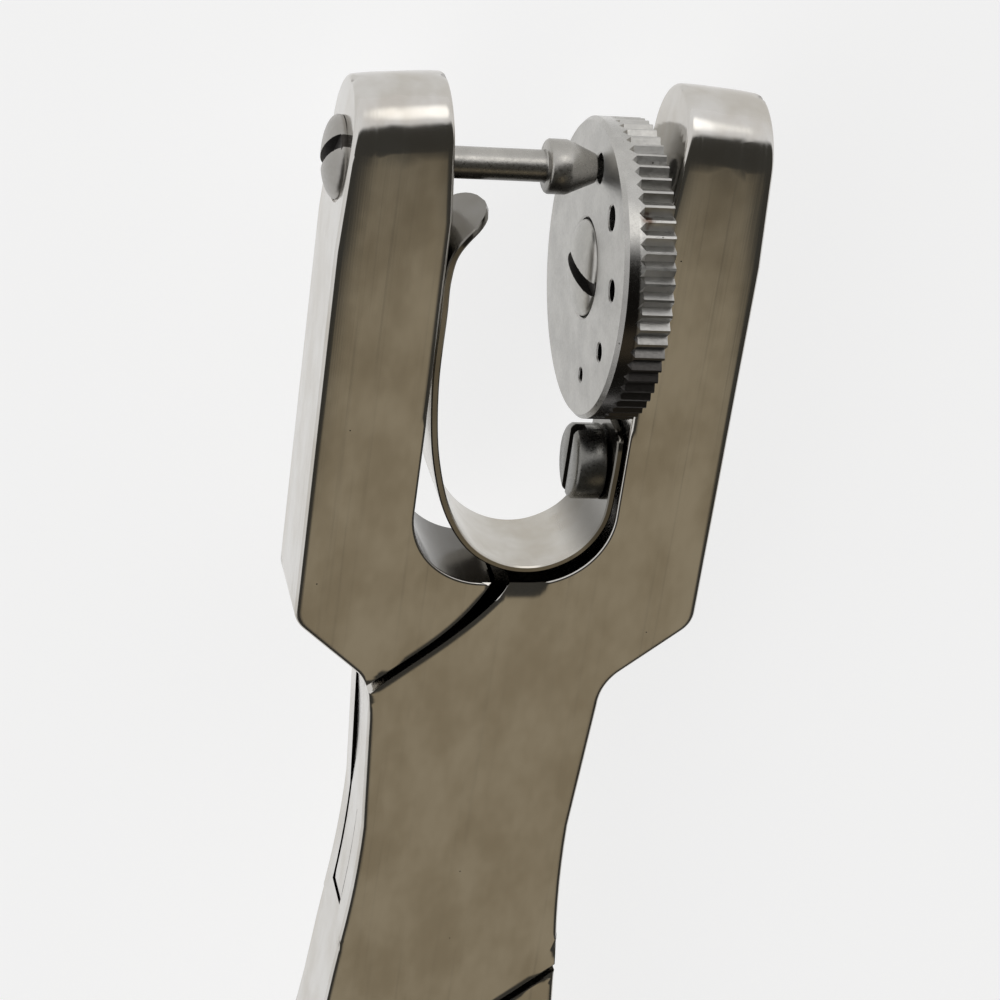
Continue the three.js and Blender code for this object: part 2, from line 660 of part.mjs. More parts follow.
// The strip is screwed to the wheel jaw, loops round the throat and bears on the punch jaw.
function leafSpring() {
  const flat = LEAF_SEAT_X - LEAF_THICKNESS / 2;
  const stations = [
    [flat, 32.6],
    [flat, LEAF_SCREW_Y],
    [flat - 0.3, 25.6],
    [5.3, 23.3],
    [2.9, 22.0],
    [0.3, 22.0],
    [-2.3, 23.3],
    [-4.35, 26.0],
    [-5.85, 30.4],
    [-6.6, 36.0],
    [-6.68, 41.6],
    [-6.72, 44.0],
    [-6.45, 45.8],
    [-5.75, 47.0],
    [-4.9, 47.65],
    [-3.95, 48.15],
  ];
  const curve = new THREE.CatmullRomCurve3(stations.map(([x, y]) => new THREE.Vector3(x, y, 0)));
  const steps = 56;
  const half = LEAF_THICKNESS / 2;
  const left = [];
  const right = [];
  for (let i = 0; i <= steps; i += 1) {
    const point = curve.getPointAt(i / steps);
    const along = curve.getTangentAt(i / steps);
    left.push(new THREE.Vector2(point.x + along.y * half, point.y - along.x * half));
    right.push(new THREE.Vector2(point.x - along.y * half, point.y + along.x * half));
  }
  const side = new THREE.Shape([...left, ...right.reverse()]);
  const topY = Math.max(...left.map((point) => point.y), ...right.map((point) => point.y));
  return plate(side, -LEAF_WIDTH / 2, LEAF_WIDTH / 2)
    .intersect(plateAlongX(leafOutline(topY), -FAR, FAR))
    .subtract(rodAlongX(LEAF_SCREW_THREAD + BORE_GAP, 5, FAR, LEAF_SCREW_Y, 0, 24));
}

// The strip seen along X: straight sides and a rounded end at topY.
function leafOutline(topY) {
  const half = LEAF_WIDTH / 2 + GAP;
  const shape = new THREE.Shape();
  shape.moveTo(-half, 0);
  shape.lineTo(half, 0);
  shape.lineTo(half, topY - LEAF_TIP_ROUND);
  shape.absellipse(0, topY - LEAF_TIP_ROUND, half, LEAF_TIP_ROUND, 0, Math.PI, false, 0);
  return shape;
}

addNode('anvil_lever', anvilLever(), STEEL);
addNode('punch_lever', punchLever(), STEEL);
addNode('pivot_pin', pivotPin(), STEEL);
addNode('punch_stylus', punchStylus(), BRIGHT);
addNode('punch_screw', punchScrew(), BRIGHT);
addNode('anvil_wheel', anvilWheel(), BRIGHT);
addNode('wheel_screw', wheelScrew(), BRIGHT);
addNode('wheel_washer', wheelWasher(), SPRING_STEEL);
addNode('detent_ball', detentBall(), BRIGHT);
addNode('detent_spring', detentSpring(), SPRING_STEEL);
addNode('detent_plug', detentPlug(), DARK_STEEL);
addNode('leaf_spring', leafSpring(), SPRING_STEEL);
addNode('leaf_spring_screw', leafScrew(), DARK_STEEL);

placed.position.set(0, -(TIP_Y + HANDLE_Y) / 2, WHEEL_RADIUS);

export default tool;
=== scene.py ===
import json
import math
from contextlib import contextmanager

import bmesh
import bpy
import numpy as np
from mathutils import Matrix, Vector
from mathutils.geometry import delaunay_2d_cdt


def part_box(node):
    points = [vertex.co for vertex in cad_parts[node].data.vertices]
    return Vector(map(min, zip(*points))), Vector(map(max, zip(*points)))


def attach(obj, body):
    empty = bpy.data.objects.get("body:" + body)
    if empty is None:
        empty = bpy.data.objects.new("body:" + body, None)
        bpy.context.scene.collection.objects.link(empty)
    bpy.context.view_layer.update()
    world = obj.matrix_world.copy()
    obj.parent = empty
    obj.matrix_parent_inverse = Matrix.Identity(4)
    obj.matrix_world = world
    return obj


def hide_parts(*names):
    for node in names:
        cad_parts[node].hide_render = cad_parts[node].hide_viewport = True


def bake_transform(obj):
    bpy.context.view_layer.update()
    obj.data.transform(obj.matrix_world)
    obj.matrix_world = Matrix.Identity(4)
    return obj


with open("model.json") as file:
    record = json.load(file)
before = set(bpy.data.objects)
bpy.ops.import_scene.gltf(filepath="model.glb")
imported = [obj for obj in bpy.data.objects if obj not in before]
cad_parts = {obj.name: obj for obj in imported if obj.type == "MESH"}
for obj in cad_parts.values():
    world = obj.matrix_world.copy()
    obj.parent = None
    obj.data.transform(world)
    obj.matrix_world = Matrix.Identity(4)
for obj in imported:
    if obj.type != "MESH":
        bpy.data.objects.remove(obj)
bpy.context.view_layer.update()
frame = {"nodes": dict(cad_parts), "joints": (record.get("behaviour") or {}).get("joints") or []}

# -------------------------------- places
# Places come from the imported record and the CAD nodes' boxes, in metres.
MM = 0.001
JOINTS = {joint["name"]: joint for joint in frame["joints"]}
PIVOT = Vector(JOINTS["lever_pivot"]["pos_m"])
WHEEL_AXIS = Vector(JOINTS["wheel_turn"]["pos_m"])
LEVER_LOW, LEVER_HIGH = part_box("anvil_lever")
WHEEL_LOW, WHEEL_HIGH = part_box("anvil_wheel")
SCREW_LOW, SCREW_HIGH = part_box("wheel_screw")
LEAF_SCREW_LOW, LEAF_SCREW_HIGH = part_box("leaf_spring_screw")
STYLUS_LOW, STYLUS_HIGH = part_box("punch_stylus")
PUNCH_SCREW_LOW, PUNCH_SCREW_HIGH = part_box("punch_screw")
HALF_DEPTH = (LEVER_HIGH.z - LEVER_LOW.z) / 2
PIN_BORE = 3.12 * MM  # radius
LEAF_SCREW_BORE = 1.52 * MM


# -------------------------------- mesh helpers
def mesh_object(name, vertices, faces):
    mesh = bpy.data.meshes.new(name)
    mesh.from_pydata([tuple(v) for v in vertices], [], faces)
    mesh.validate()
    piece = bpy.data.objects.new(name, mesh)
    bpy.context.scene.collection.objects.link(piece)
    return piece


@contextmanager
def edited(mesh):
    """Opens a mesh for editing and writes it back."""
    bm = bmesh.new()
    bm.from_mesh(mesh)
    yield bm
    bm.to_mesh(mesh)
    bm.free()


def outward(piece):
    with edited(piece.data) as bm:
        bmesh.ops.remove_doubles(bm, verts=bm.verts, dist=1e-7)
        bmesh.ops.recalc_face_normals(bm, faces=bm.faces)
    return piece


def apply_modifiers(piece):
    bpy.context.view_layer.update()
    graph = bpy.context.evaluated_depsgraph_get()
    mesh = bpy.data.meshes.new_from_object(piece.evaluated_get(graph))
    piece.modifiers.clear()
    piece.data = mesh
    return piece


def shade(piece, angle):
    """Smooth, with creases where faces meet at more than angle degrees."""
    mesh = piece.data
    mesh.polygons.foreach_set("use_smooth", [True] * len(mesh.polygons))
    with edited(mesh) as bm:
        for edge in bm.edges:
            edge.smooth = len(edge.link_faces) == 2 and edge.calc_face_angle(0) < math.radians(angle)
    weighted = piece.modifiers.new("normals", "WEIGHTED_NORMAL")
    weighted.keep_sharp = True
    weighted.mode = "FACE_AREA"
    return piece


def combine(piece, others, operation):
    """Joins the other solids to the piece or takes them off it, and removes them."""
    for other in others:
        boolean = piece.modifiers.new("combine", "BOOLEAN")
        boolean.operation = operation
        boolean.solver = "EXACT"
        boolean.object = other
    apply_modifiers(piece)
    for other in others:
        bpy.data.objects.remove(other)
    return piece


def cut(piece, cutters):
    with edited(piece.data) as bm:
        bmesh.ops.triangulate(bm, faces=bm.faces)
    return combine(piece, cutters, "DIFFERENCE")


def bevel(piece, width):
    rounding = piece.modifiers.new("bevel", "BEVEL")
    rounding.width = width
    rounding.segments = 2
    rounding.limit_method = "ANGLE"
    rounding.angle_limit = math.radians(40)
    rounding.use_clamp_overlap = True
    rounding.miter_outer = "MITER_ARC"
    return apply_modifiers(piece)


def lathe(name, profile, centre, segments=96):
    """A solid turned about the line along X through centre, from (x, radius) pairs in metres.

    The first and last radius are 0."""
    vertices = [(profile[0][0], centre.y, centre.z)]
    rings = profile[1:-1]
    for x, radius in rings:
        for i in range(segments):
            a = 2 * math.pi * i / segments
            vertices.append((x, centre.y + radius * math.cos(a), centre.z + radius * math.sin(a)))
    vertices.append((profile[-1][0], centre.y, centre.z))
    faces = []
    for i in range(segments):
        j = (i + 1) % segments
        faces.append((0, 1 + j, 1 + i))
        last = 1 + (len(rings) - 1) * segments
        faces.append((last + i, last + j, len(vertices) - 1))
        for k in range(len(rings) - 1):
            a, b = 1 + k * segments, 1 + (k + 1) * segments
            faces.append((a + i, a + j, b + j, b + i))
    return outward(mesh_object(name, vertices, faces))


def block(name, centre, size, turn=0.0):
    """A cutter: a box turned about X."""
    spin = Matrix.Rotation(turn, 4, "X")
    vertices = []
    for x in (-0.5, 0.5):
        for y in (-0.5, 0.5):
            for z in (-0.5, 0.5):
                vertices.append(centre + spin @ Vector((x * size[0], y * size[1], z * size[2])))
    faces = [(0, 1, 3, 2), (4, 6, 7, 5), (0, 4, 5, 1), (2, 3, 7, 6), (0, 2, 6, 4), (1, 5, 7, 3)]
    return outward(mesh_object(name, vertices, faces))


def rod(name, centre, radius, low, high, segments=40):
    return lathe(name, [(low, 0), (low, radius), (high, radius), (high, 0)], centre, segments)


def slotted(screw, centre, turn, width, depth, soft):
    """Cuts a screwdriver slot, softens the edges and marks the slot's faces for a dark material, which
    is painted shade.
    """
    cut(screw, [block("slot", centre, (2 * depth, width, 9 * MM), turn)])
    shade(bevel(screw, soft), 40)
    normal = Vector((0, math.cos(turn), math.sin(turn)))
    screw["slot_faces"] = [p.index for p in screw.data.polygons
                           if abs((p.center - centre).dot(normal)) < width / 2 + 0.02 * MM
                           and p.center.x < centre.x + 1.2 * MM]
    return screw


def finish_piece(piece, body, nodes, material):
    piece.data.materials.clear()
    piece.data.materials.append(material)
    if "slot_faces" in piece:
        # The slot's faces get a dark material: painted shade in the slot.
        piece.data.materials.append(SLOT_SHADE)
        for index in piece["slot_faces"]:
            piece.data.polygons[index].material_index = 1
        del piece["slot_faces"]
    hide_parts(*nodes)
    if body:
        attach(piece, body)
    return piece


# -------------------------------- materials
def link(tree, a, b):
    tree.links.new(a, b)


def new_material(name):
    material = bpy.data.materials.new(name)
    material.use_nodes = True
    tree = material.node_tree
    tree.nodes.clear()
    output = tree.nodes.new("ShaderNodeOutputMaterial")
    shader = tree.nodes.new("ShaderNodeBsdfPrincipled")
    link(tree, shader.outputs["BSDF"], output.inputs["Surface"])
    return material, tree, shader


def node(tree, kind, **inputs):
    made = tree.nodes.new(kind)
    for name, value in inputs.items():
        made.inputs[name.replace("_", " ")].default_value = value
    return made


def point_of(tree, output):
    """The place ("Object") or the facing ("Normal") of a surface point."""
    return tree.nodes.new("ShaderNodeTexCoord").outputs[output]


def coordinates(tree, scale):
    mapping = tree.nodes.new("ShaderNodeMapping")
    mapping.inputs["Scale"].default_value = scale
    link(tree, point_of(tree, "Object"), mapping.inputs["Vector"])
    return mapping.outputs["Vector"]


def split_point(tree, output):
    """Its X, Y and Z."""
    split = tree.nodes.new("ShaderNodeSeparateXYZ")
    link(tree, point_of(tree, output), split.inputs["Vector"])
    return split.outputs


def vector_node(tree, operation, a, b=None):
    """Vector maths on the socket a, with the constant b."""
    made = tree.nodes.new("ShaderNodeVectorMath")
    made.operation = operation
    link(tree, a, made.inputs[0])
    if b is not None:
        made.inputs[1].default_value = b
    return made.outputs


def noise(tree, scale, detail, rough):
    """Noise with scale waves per metre along each axis."""
    made = node(tree, "ShaderNodeTexNoise", Scale=1.0, Detail=detail, Roughness=rough)
    link(tree, coordinates(tree, scale), made.inputs["Vector"])
    return made.outputs["Fac"]


def ranged(tree, value, low, high, to_low, to_high, smooth=True):
    made = tree.nodes.new("ShaderNodeMapRange")
    made.interpolation_type = "SMOOTHSTEP" if smooth else "LINEAR"
    limits = {"From Min": low, "From Max": high, "To Min": to_low, "To Max": to_high}
    for name, limit in limits.items():
        made.inputs[name].default_value = limit
    link(tree, value, made.inputs["Value"])
    return made.outputs["Result"]


def math_node(tree, operation, a, b):
    made = tree.nodes.new("ShaderNodeMath")
    made.operation = operation
    for socket, value in zip(made.inputs, (a, b)):
        if isinstance(value, (int, float)):
            socket.default_value = value
        else:
            link(tree, value, socket)
    return made.outputs[0]


def times(tree, a, b):
    return math_node(tree, "MULTIPLY", a, b)


def mix_colour(tree, factor, a, b):
    made = tree.nodes.new("ShaderNodeMix")
    made.data_type = "RGBA"
    link(tree, factor, made.inputs[0])
    for socket, value in zip((made.inputs[6], made.inputs[7]), (a, b)):
        if isinstance(value, tuple):
            socket.default_value = (*value, 1)
        else:
            link(tree, value, socket)
    return made.outputs[2]


def facing_x(tree):
    """1 on faces that look along X, 0 on the others."""
    facing = split_point(tree, "Normal")
    return ranged(tree, math_node(tree, "ABSOLUTE", facing["X"], 0), 0.6, 0.8, 0, 1)


def grain_height(tree, fine, along):
    """Fine grinding lines along Y, spaced in Z on faces that look along X and in X on all others."""
    sideways = facing_x(tree)
    across = noise(tree, (fine, along, along), 3.0, 0.6)
    upright = noise(tree, (along, along, fine), 3.0, 0.6)
    a = times(tree, across, math_node(tree, "SUBTRACT", 1.0, sideways))
    b = times(tree, upright, sideways)
    return math_node(tree, "ADD", a, b)


def pits(tree, per_metre, share, size):
    """1 in scattered small specks, 0 elsewhere. share of the cells have one."""
    cells = tree.nodes.new("ShaderNodeTexVoronoi")
    cells.inputs["Scale"].default_value = per_metre
    link(tree, coordinates(tree, (1, 1, 1)), cells.inputs["Vector"])
    split = tree.nodes.new("ShaderNodeSeparateColor")
    link(tree, cells.outputs["Color"], split.inputs["Color"])
    chosen = ranged(tree, split.outputs[0], share, share * 0.9, 0, 1, False)
    near = ranged(tree, cells.outputs["Distance"], size, size * 0.55, 0, 1)
    return times(tree, chosen, near)


def bump(tree, shader, heights):
    """Chains (height, strength, distance) into the shader's normal."""
    normal = None
    for height, strength, distance in heights:
        made = tree.nodes.new("ShaderNodeBump")
        made.inputs["Strength"].default_value = strength
        made.inputs["Distance"].default_value = distance
        link(tree, height, made.inputs["Height"])
        if normal is not None:
            link(tree, normal, made.inputs["Normal"])
        normal = made.outputs["Normal"]
    link(tree, normal, shader.inputs["Normal"])


def in_the_joint(tree):
    """Near 1 on the flats inside the box joint and on the walls of the throat near the crotch: painted
    shade, darkening the base colour there.
    """
    at, facing = split_point(tree, "Object"), split_point(tree, "Normal")
    depth = math_node(tree, "ABSOLUTE", math_node(tree, "SUBTRACT", at["Z"], PIVOT.z), 0)
    near_middle = ranged(tree, depth, 2.2 * MM, 2.0 * MM, 0, 1)
    upright = math_node(tree, "ABSOLUTE", facing["Z"], 0)
    flat = ranged(tree, upright, 0.8, 0.95, 0, 1)
    wall = ranged(tree, upright, 0.5, 0.25, 0, 1)
    inner = ranged(tree, math_node(tree, "ABSOLUTE", at["X"], 0), 10.4 * MM, 10 * MM, 0, 1)
    above = ranged(tree, at["Y"], PIVOT.y + 17 * MM, PIVOT.y + 18.5 * MM, 0, 1)
    below = ranged(tree, at["Y"], PIVOT.y + 36 * MM, PIVOT.y + 27 * MM, 0, 0.85)
    throat = times(tree, times(tree, wall, inner), times(tree, above, below))
    return math_node(tree, "MAXIMUM", times(tree, near_middle, flat), throat)


def at_the_leaf_ends(tree):
    """Rises towards both ends of the leaf spring and on its front edge, whose base colour is painted
    darker: painted shade.
    """
    at, facing = split_point(tree, "Object"), split_point(tree, "Normal")
    # Painted shade on the front edge, beside the gap to the jaw.
    edge = ranged(tree, facing["Z"], 0.6, 0.9, 0, 0.5)
    free = ranged(tree, at["Y"], PIVOT.y + 43 * MM, PIVOT.y + 46 * MM, 0, 0.7)
    held = ranged(tree, at["X"], PIVOT.x + 4.2 * MM, PIVOT.x + 6.4 * MM, 0, 0.75)
    return math_node(tree, "MAXIMUM", edge, math_node(tree, "MAXIMUM", free, held))


WARM = (1.0, 0.97, 0.92)
PIT_COLOUR = (0.03, 0.028, 0.024)
# The colour of painted shade in the joint, the throat and on the leaf spring.
SHADE_PAINT_COLOUR = (0.045, 0.042, 0.036)
SHADOW_COLOUR = (0.03, 0.028, 0.025)
RIM_SHADE_COLOUR = (0.035, 0.03, 0.028)
# The colour of painted shade on the lower part of the wheel's rim.
STAIN_COLOUR = (0.1, 0.045, 0.022)
PORE_COLOUR = (0.05, 0.045, 0.04)


def polished_steel(name, colour, roughness, smudge, painted_shade):
    """Belt-ground, then polished stainless: grinding lines, smudges, faint waves and a few pits.

    painted_shade makes a mask of where the base colour is painted darker: painted shade."""
    material, tree, shader = new_material(name)
    shader.inputs["Metallic"].default_value = 1.0
    blotch = noise(tree, (260, 140, 260), 3.0, 0.6)
    lines = grain_height(tree, 9000, 90)
    scratches = grain_height(tree, 2600, 25)
    specks = pits(tree, 900, 0.05, 0.06)
    darker = tuple(c * w * (1 - smudge * 2) for c, w in zip(colour, WARM))
    lighter = tuple(c * (1 + smudge) for c in colour)
    base = mix_colour(tree, ranged(tree, blotch, 0.3, 0.7, 0, 1), darker, lighter)
    base = mix_colour(tree, specks, base, PIT_COLOUR)
    # Painted shade: the mask blends the base colour towards a dark colour.
    base = mix_colour(tree, painted_shade(tree), base, SHADE_PAINT_COLOUR)
    link(tree, base, shader.inputs["Base Color"])
    spread = math_node(tree, "ADD",
                       ranged(tree, blotch, 0.25, 0.75, roughness * 1.35, roughness * 0.8),
                       ranged(tree, scratches, 0.55, 0.8, 0, roughness * 0.8))
    spread = math_node(tree, "ADD", spread, times(tree, specks, 0.4))
    link(tree, spread, shader.inputs["Roughness"])
    bump(tree, shader, [
        (noise(tree, (110, 60, 110), 2.0, 0.5), 0.25, 0.00004),
        (lines, 0.12, 0.000012),
        (specks, -0.5, 0.00004),
    ])
    return material


def radius_about(tree, centre):
    """Each point's distance from the line along X through centre."""
    offset = vector_node(tree, "SUBTRACT", point_of(tree, "Object"), centre)
    flat = vector_node(tree, "MULTIPLY", offset["Vector"], (0, 1, 1))
    return vector_node(tree, "LENGTH", flat["Vector"])["Value"]


def satin_steel(name, colour, roughness, pores, centre=None, rim=None, rim_end=0.0):
    """Matt ground steel: fine pores and, about an axis along X through centre, turning rings.

    rim is the lower roughness of the faces that do not look along X, up to rim_end along X.
    Returns the material and its node tree, shader and base colour."""
    material, tree, shader = new_material(name)
    shader.inputs["Metallic"].default_value = 1.0
    blotch = noise(tree, (400, 400, 400), 4.0, 0.6)
    fine = noise(tree, (5200, 5200, 5200), 3.0, 0.65)
    coarse = noise(tree, (1700, 1700, 1700), 2.0, 0.5)
    specks = pits(tree, 1700, 0.08, 0.14)
    sideways = facing_x(tree)
    if rim:
        past = ranged(tree, split_point(tree, "Object")["X"], rim_end, rim_end + 0.3 * MM, 0, 1)
        sideways = math_node(tree, "MAXIMUM", sideways, past)
    calm = ranged(tree, sideways, 0, 1, 0.3 if rim else 1.0, 1.0)
    heights = [
        (times(tree, fine, calm), 0.35 * pores, 0.00003),
        (times(tree, coarse, calm), 0.3 * pores, 0.00003),
        (specks, -0.5, 0.00005),
    ]
    if centre is not None:
        ring = node(tree, "ShaderNodeTexNoise", Scale=9000.0, Detail=2.0)
        ring.noise_dimensions = "1D"
        link(tree, radius_about(tree, centre), ring.inputs["W"])
        heights.append((ring.outputs["Fac"], 0.12, 0.00001))
    darker = tuple(c * 0.82 for c in colour)
    base = mix_colour(tree, ranged(tree, blotch, 0.3, 0.7, 0, 1), darker, colour)
    base = mix_colour(tree, times(tree, specks, 0.8), base, PORE_COLOUR)
    link(tree, base, shader.inputs["Base Color"])
    spread = ranged(tree, fine, 0.3, 0.7, 0.85, 1.2)
    level = ranged(tree, sideways, 0, 1, rim or roughness, roughness)
    link(tree, times(tree, spread, level), shader.inputs["Roughness"])
    bump(tree, shader, heights)
    return material, tree, shader, base


def stain(tree, shader, base, centre, size):
    """A brown stain at one place."""
    apart = vector_node(tree, "DISTANCE", point_of(tree, "Object"), centre)
    ragged = times(tree, noise(tree, (2500, 2500, 2500), 2.0, 0.6), size)
    near = math_node(tree, "ADD", apart["Value"], ragged)
    amount = ranged(tree, near, size * 1.3, size * 0.6, 0, 0.95)
    link(tree, mix_colour(tree, amount, base, STAIN_COLOUR), shader.inputs["Base Color"])


def darker_below(tree, shader, base):
    """The side that looks towards the pivot is painted dark: a painted reflection of the tool's own
    shadow.
    """
    amount = ranged(tree, split_point(tree, "Normal")["Y"], 0.25, -0.45, 0, 0.8)
    link(tree, mix_colour(tree, amount, base, SHADOW_COLOUR), shader.inputs["Base Color"])


def painted_rim_shade(tree, base):
    """The lower part of the wheel's rim is painted dark, the knurl less far up than the plain band:
    painted shade.
    """
    at = split_point(tree, "Object")
    knurled = ranged(tree, at["X"], WHEEL_LOW.x + 0.9 * MM, WHEEL_LOW.x + 1.3 * MM, 0, 6.0 * MM)
    height = math_node(tree, "ADD", math_node(tree, "SUBTRACT", at["Y"], WHEEL_AXIS.y), knurled)
    # Painted shade: darker towards the bottom of the rim.
    low = ranged(tree, height, 7.3 * MM, 3.2 * MM, 0, 0.9)
    amount = times(tree, low, math_node(tree, "SUBTRACT", 1.0, facing_x(tree)))
    return mix_colour(tree, amount, base, RIM_SHADE_COLOUR)


def wheel_steel():
    """The wheel's matt steel with a smoother rim, painted dark below as painted shade, and stained in
    one groove.
    """
    material, tree, shader, base = satin_steel(
        "wheel_satin", (0.53, 0.52, 0.495), 0.34, 0.9, WHEEL_AXIS, 0.24, WHEEL_LOW.x + 0.95 * MM)
    turn, reach = math.radians(47), 10.1 * MM
    centre = (WHEEL_LOW.x + 1.6 * MM, WHEEL_AXIS.y + reach * math.cos(turn),
              WHEEL_AXIS.z + reach * math.sin(turn))
    stain(tree, shader, painted_rim_shade(tree, base), centre, 0.8 * MM)
    return material


LEVER = polished_steel("lever_polished", (0.60, 0.585, 0.56), 0.13, 0.055, in_the_joint)
SPRING = polished_steel("spring_polished", (0.57, 0.55, 0.51), 0.16, 0.05, at_the_leaf_ends)
TURNED, *_ = satin_steel("turned_satin", (0.40, 0.385, 0.36), 0.33, 0.6, PIVOT)
STYLUS, *STYLUS_PARTS = satin_steel("stylus_satin", (0.46, 0.445, 0.415), 0.3, 0.7, STYLUS_LOW)
# Painted reflection: the stylus's side towards the pivot is painted dark.
darker_below(*STYLUS_PARTS)
BUTTON, *_ = satin_steel("button_head", (0.5, 0.49, 0.46), 0.34, 0.5, WHEEL_AXIS)
# Painted shade: a dark material for the insides of the screw slots.
SLOT_SHADE, *_ = satin_steel("slot_painted_shade", (0.06, 0.055, 0.05), 0.5, 0.8)
WHEEL = wheel_steel()
DARK, *_ = satin_steel("screw_dull", (0.22, 0.215, 0.2), 0.3, 0.6, LEAF_SCREW_LOW)


# -------------------------------- levers
WALL_ROWS = 4
CORNER = 0.32 * MM  # radius of a polished border
ROLL_WIDTH = 1.9 * MM  # the faces roll off gently over this width
ROLL_DEPTH = 0.1 * MM
ROLL_LEAST = 0.25  # share of the roll-off that is left beside the box
RAMP = 1.6 * MM  # a crisp border turns into a polished one over this length
CRISP = 0.12 * MM  # radius of a border at a lap line or a groove
HUB_RADIUS = 7.3 * MM
LOBE_RADIUS = 11.7 * MM
CROTCH = Vector((-0.7 * MM, 21 * MM))
SLOT_GAP = 0.3 * MM
TONGUE_HALF = 1.4 * MM
LAP_ANGLE = math.radians(40.5)  # slope of both lap lines
GRIP_TOP_Y = -44 * MM  # the serrations start below this
FACET_RIGHT = 3.4 * MM
BOX_END_Y = 10.7 * MM  # the box's sides bow in between here and the same height below the pivot
BOX_END_HALF = 8.5 * MM
BOX_BOW_HALF = 7.2 * MM  # control point of the bow
FLUSH_GAP = 0.06 * MM  # the tongue stays this far inside the box's sides


def face_loops(cad_node):
    """The borders of a lever's front face, about the pivot: points, and which edges are tip lines."""
    bm = bmesh.new()
    bm.from_mesh(frame["nodes"][cad_node].data)
    bmesh.ops.remove_doubles(bm, verts=bm.verts, dist=1.5e-6)
    front_z = PIVOT.z + 2.5 * MM
    top = [f for f in bm.faces if f.normal.z > 0.9995 and f.calc_center_median().z > front_z]
    top_set = set(top)
    onward = {}
    for f in top:
        for loop in f.loops:
            others = [g for g in loop.edge.link_faces if g is not f]
            if top_set.isdisjoint(others):
                soft = any(g.normal.z > 0.9 for g in others)
                onward[loop.vert.index] = (loop.link_loop_next.vert.index, soft)
    places = {v.index: (v.co - PIVOT).to_2d() for v in bm.verts}
    bm.free()
    loops = []
    while onward:
        start = next(iter(onward))
        at, points, soft_flags = start, [], []
        while at in onward:
            following, soft = onward.pop(at)
            points.append(places[at])
            soft_flags.append(soft)
            at = following
        loops.append((points, soft_flags))
    return loops


def tidy_loop(points, soft):
    """Drops points on straight runs, and joins the short pieces of the tip line."""
    keep_points, keep_soft = [], []
    n = len(points)
    for i in range(n):
        a, b, c = points[i - 1], points[i], points[(i + 1) % n]
        u, v = (b - a), (c - b)
        if u.length < 1e-6 or v.length < 1e-6:
            continue
        turn = abs(u.angle_signed(v))
        if turn < math.radians(0.4) and soft[i - 1] == soft[i]:
            continue
        keep_points.append(b)
        keep_soft.append(soft[i])
    return keep_points, keep_soft


def segment_distance(points, p, q):
    """Distance of each point to the segment p-q."""
    d = q - p
    t = np.clip(((points - p) @ d) / max(d @ d, 1e-18), 0, 1)
    return np.linalg.norm(points - (p + t[:, None] * d), axis=1)


def nearest_distance(points, a, b):
    best = np.full(len(points), 1e9)
    for p, q in zip(a, b):
        best = np.minimum(best, segment_distance(points, p, q))
    return best


def border_weights(ring, following, flags):
    """1 on polished borders and 0 on crisp ones, with a ramp where they meet."""
    length = np.linalg.norm(following - ring, axis=1)
    place = np.cumsum(length) - length / 2
    polished = flags != "crisp"
    weights = np.empty(len(ring))
    for i, s in enumerate(place):
        apart = np.abs(place - s)
        apart = np.minimum(apart, length.sum() - apart)
        near = np.clip(1 - apart / RAMP, 0, None) * length
        weights[i] = near[polished].sum() / max(near.sum(), 1e-12)
    return np.clip(2 * weights - 1, 0, 1)


def border_drop(points, ring, following, flags, tip):
    """How far the face lies below its flat middle: rounded corners and a gentle roll-off."""
    weights = border_weights(ring, following, flags)
    drop = np.zeros(len(points))
    for p, q, flag, weight in zip(ring, following, flags, weights):
        if flag == "end":
            continue
        d = segment_distance(points, p, q)
        x, y = p if tip is None else (tip[0] + tip[1] * p[0] + tip[2] * p[1])
        share = ROLL_LEAST + (1 - ROLL_LEAST) * min(max((y - 20 * MM) / (30 * MM), 0), 1)
        in_throat = abs(x) < 9 * MM and 19 * MM < y < 34 * MM
        corner = CRISP + (CORNER - CRISP) * weight * (0.15 if in_throat else 1)
        arc = np.sqrt(np.maximum(corner**2 - (corner - d) ** 2, 0))
        rounding = np.where(d < corner, corner - arc, 0)
        rolled = ROLL_DEPTH * share * weight * np.clip(1 - d / ROLL_WIDTH, 0, 1) ** 2
        drop = np.maximum(drop, rounding + rolled)
    return drop


def crotch_facet(x, y):
    """A small ground facet on the wheel lever beside the crotch: how far it lies below the face."""
    if not 0 < x < FACET_RIGHT or y > CROTCH.y + MM:
        return 0.0
    slope, reach, fade = 0.16, 1.15 * MM, 0.8 * MM
    return max(0.0, (reach - (CROTCH.y - y)) * slope) * min((FACET_RIGHT - x) / fade, 1)


def is_crisp(middle):
    """Lap lines and the serrated handles keep crisp borders."""
    x, y = middle
    across = abs(x * math.sin(LAP_ANGLE) - y * math.cos(LAP_ANGLE))
    if y > 0:
        return y < 20.95 * MM and -9 * MM < x < 1.5 * MM and 13.6 * MM < across < 17.2 * MM
    lap = x > -1.5 * MM and y > -30 * MM and 14.6 * MM < across < 17.5 * MM
    return lap or y < GRIP_TOP_Y


def half_thickness(y):
    """The levers thin out towards the handle ends."""
    taper, end, end_half = -24 * MM, -114.7 * MM, 3.1 * MM
    t = np.clip((taper - y) / (taper - end), 0, 1)
    return HALF_DEPTH + (end_half - HALF_DEPTH) * t


def tip_frame(points, soft):
    """The tip line's origin and its two directions, in plan. None where the loop has no tip."""
    if True not in soft:
        return None
    i = soft.index(True)
    a, b = points[i], points[(i + 1) % len(points)]
    across = (b - a).normalized()
    ahead = Vector((-across.y, across.x))
    if ahead.y < 0:
        ahead = -ahead
    across = Vector((ahead.y, -ahead.x))
    return (a + b) / 2, across, ahead


def tip_side(corner, direction, tip):
    """A jaw's side border where it runs on round the tip, unrolled."""
    origin, across, ahead = tip
    points = []
    for k in range(1, 15):
        theta = math.pi / 2 * k / 14
        p = corner + direction * (HALF_DEPTH * math.sin(theta) / direction.dot(ahead))
        points.append(Vector(((p - origin).dot(across), HALF_DEPTH * theta)))
    return points


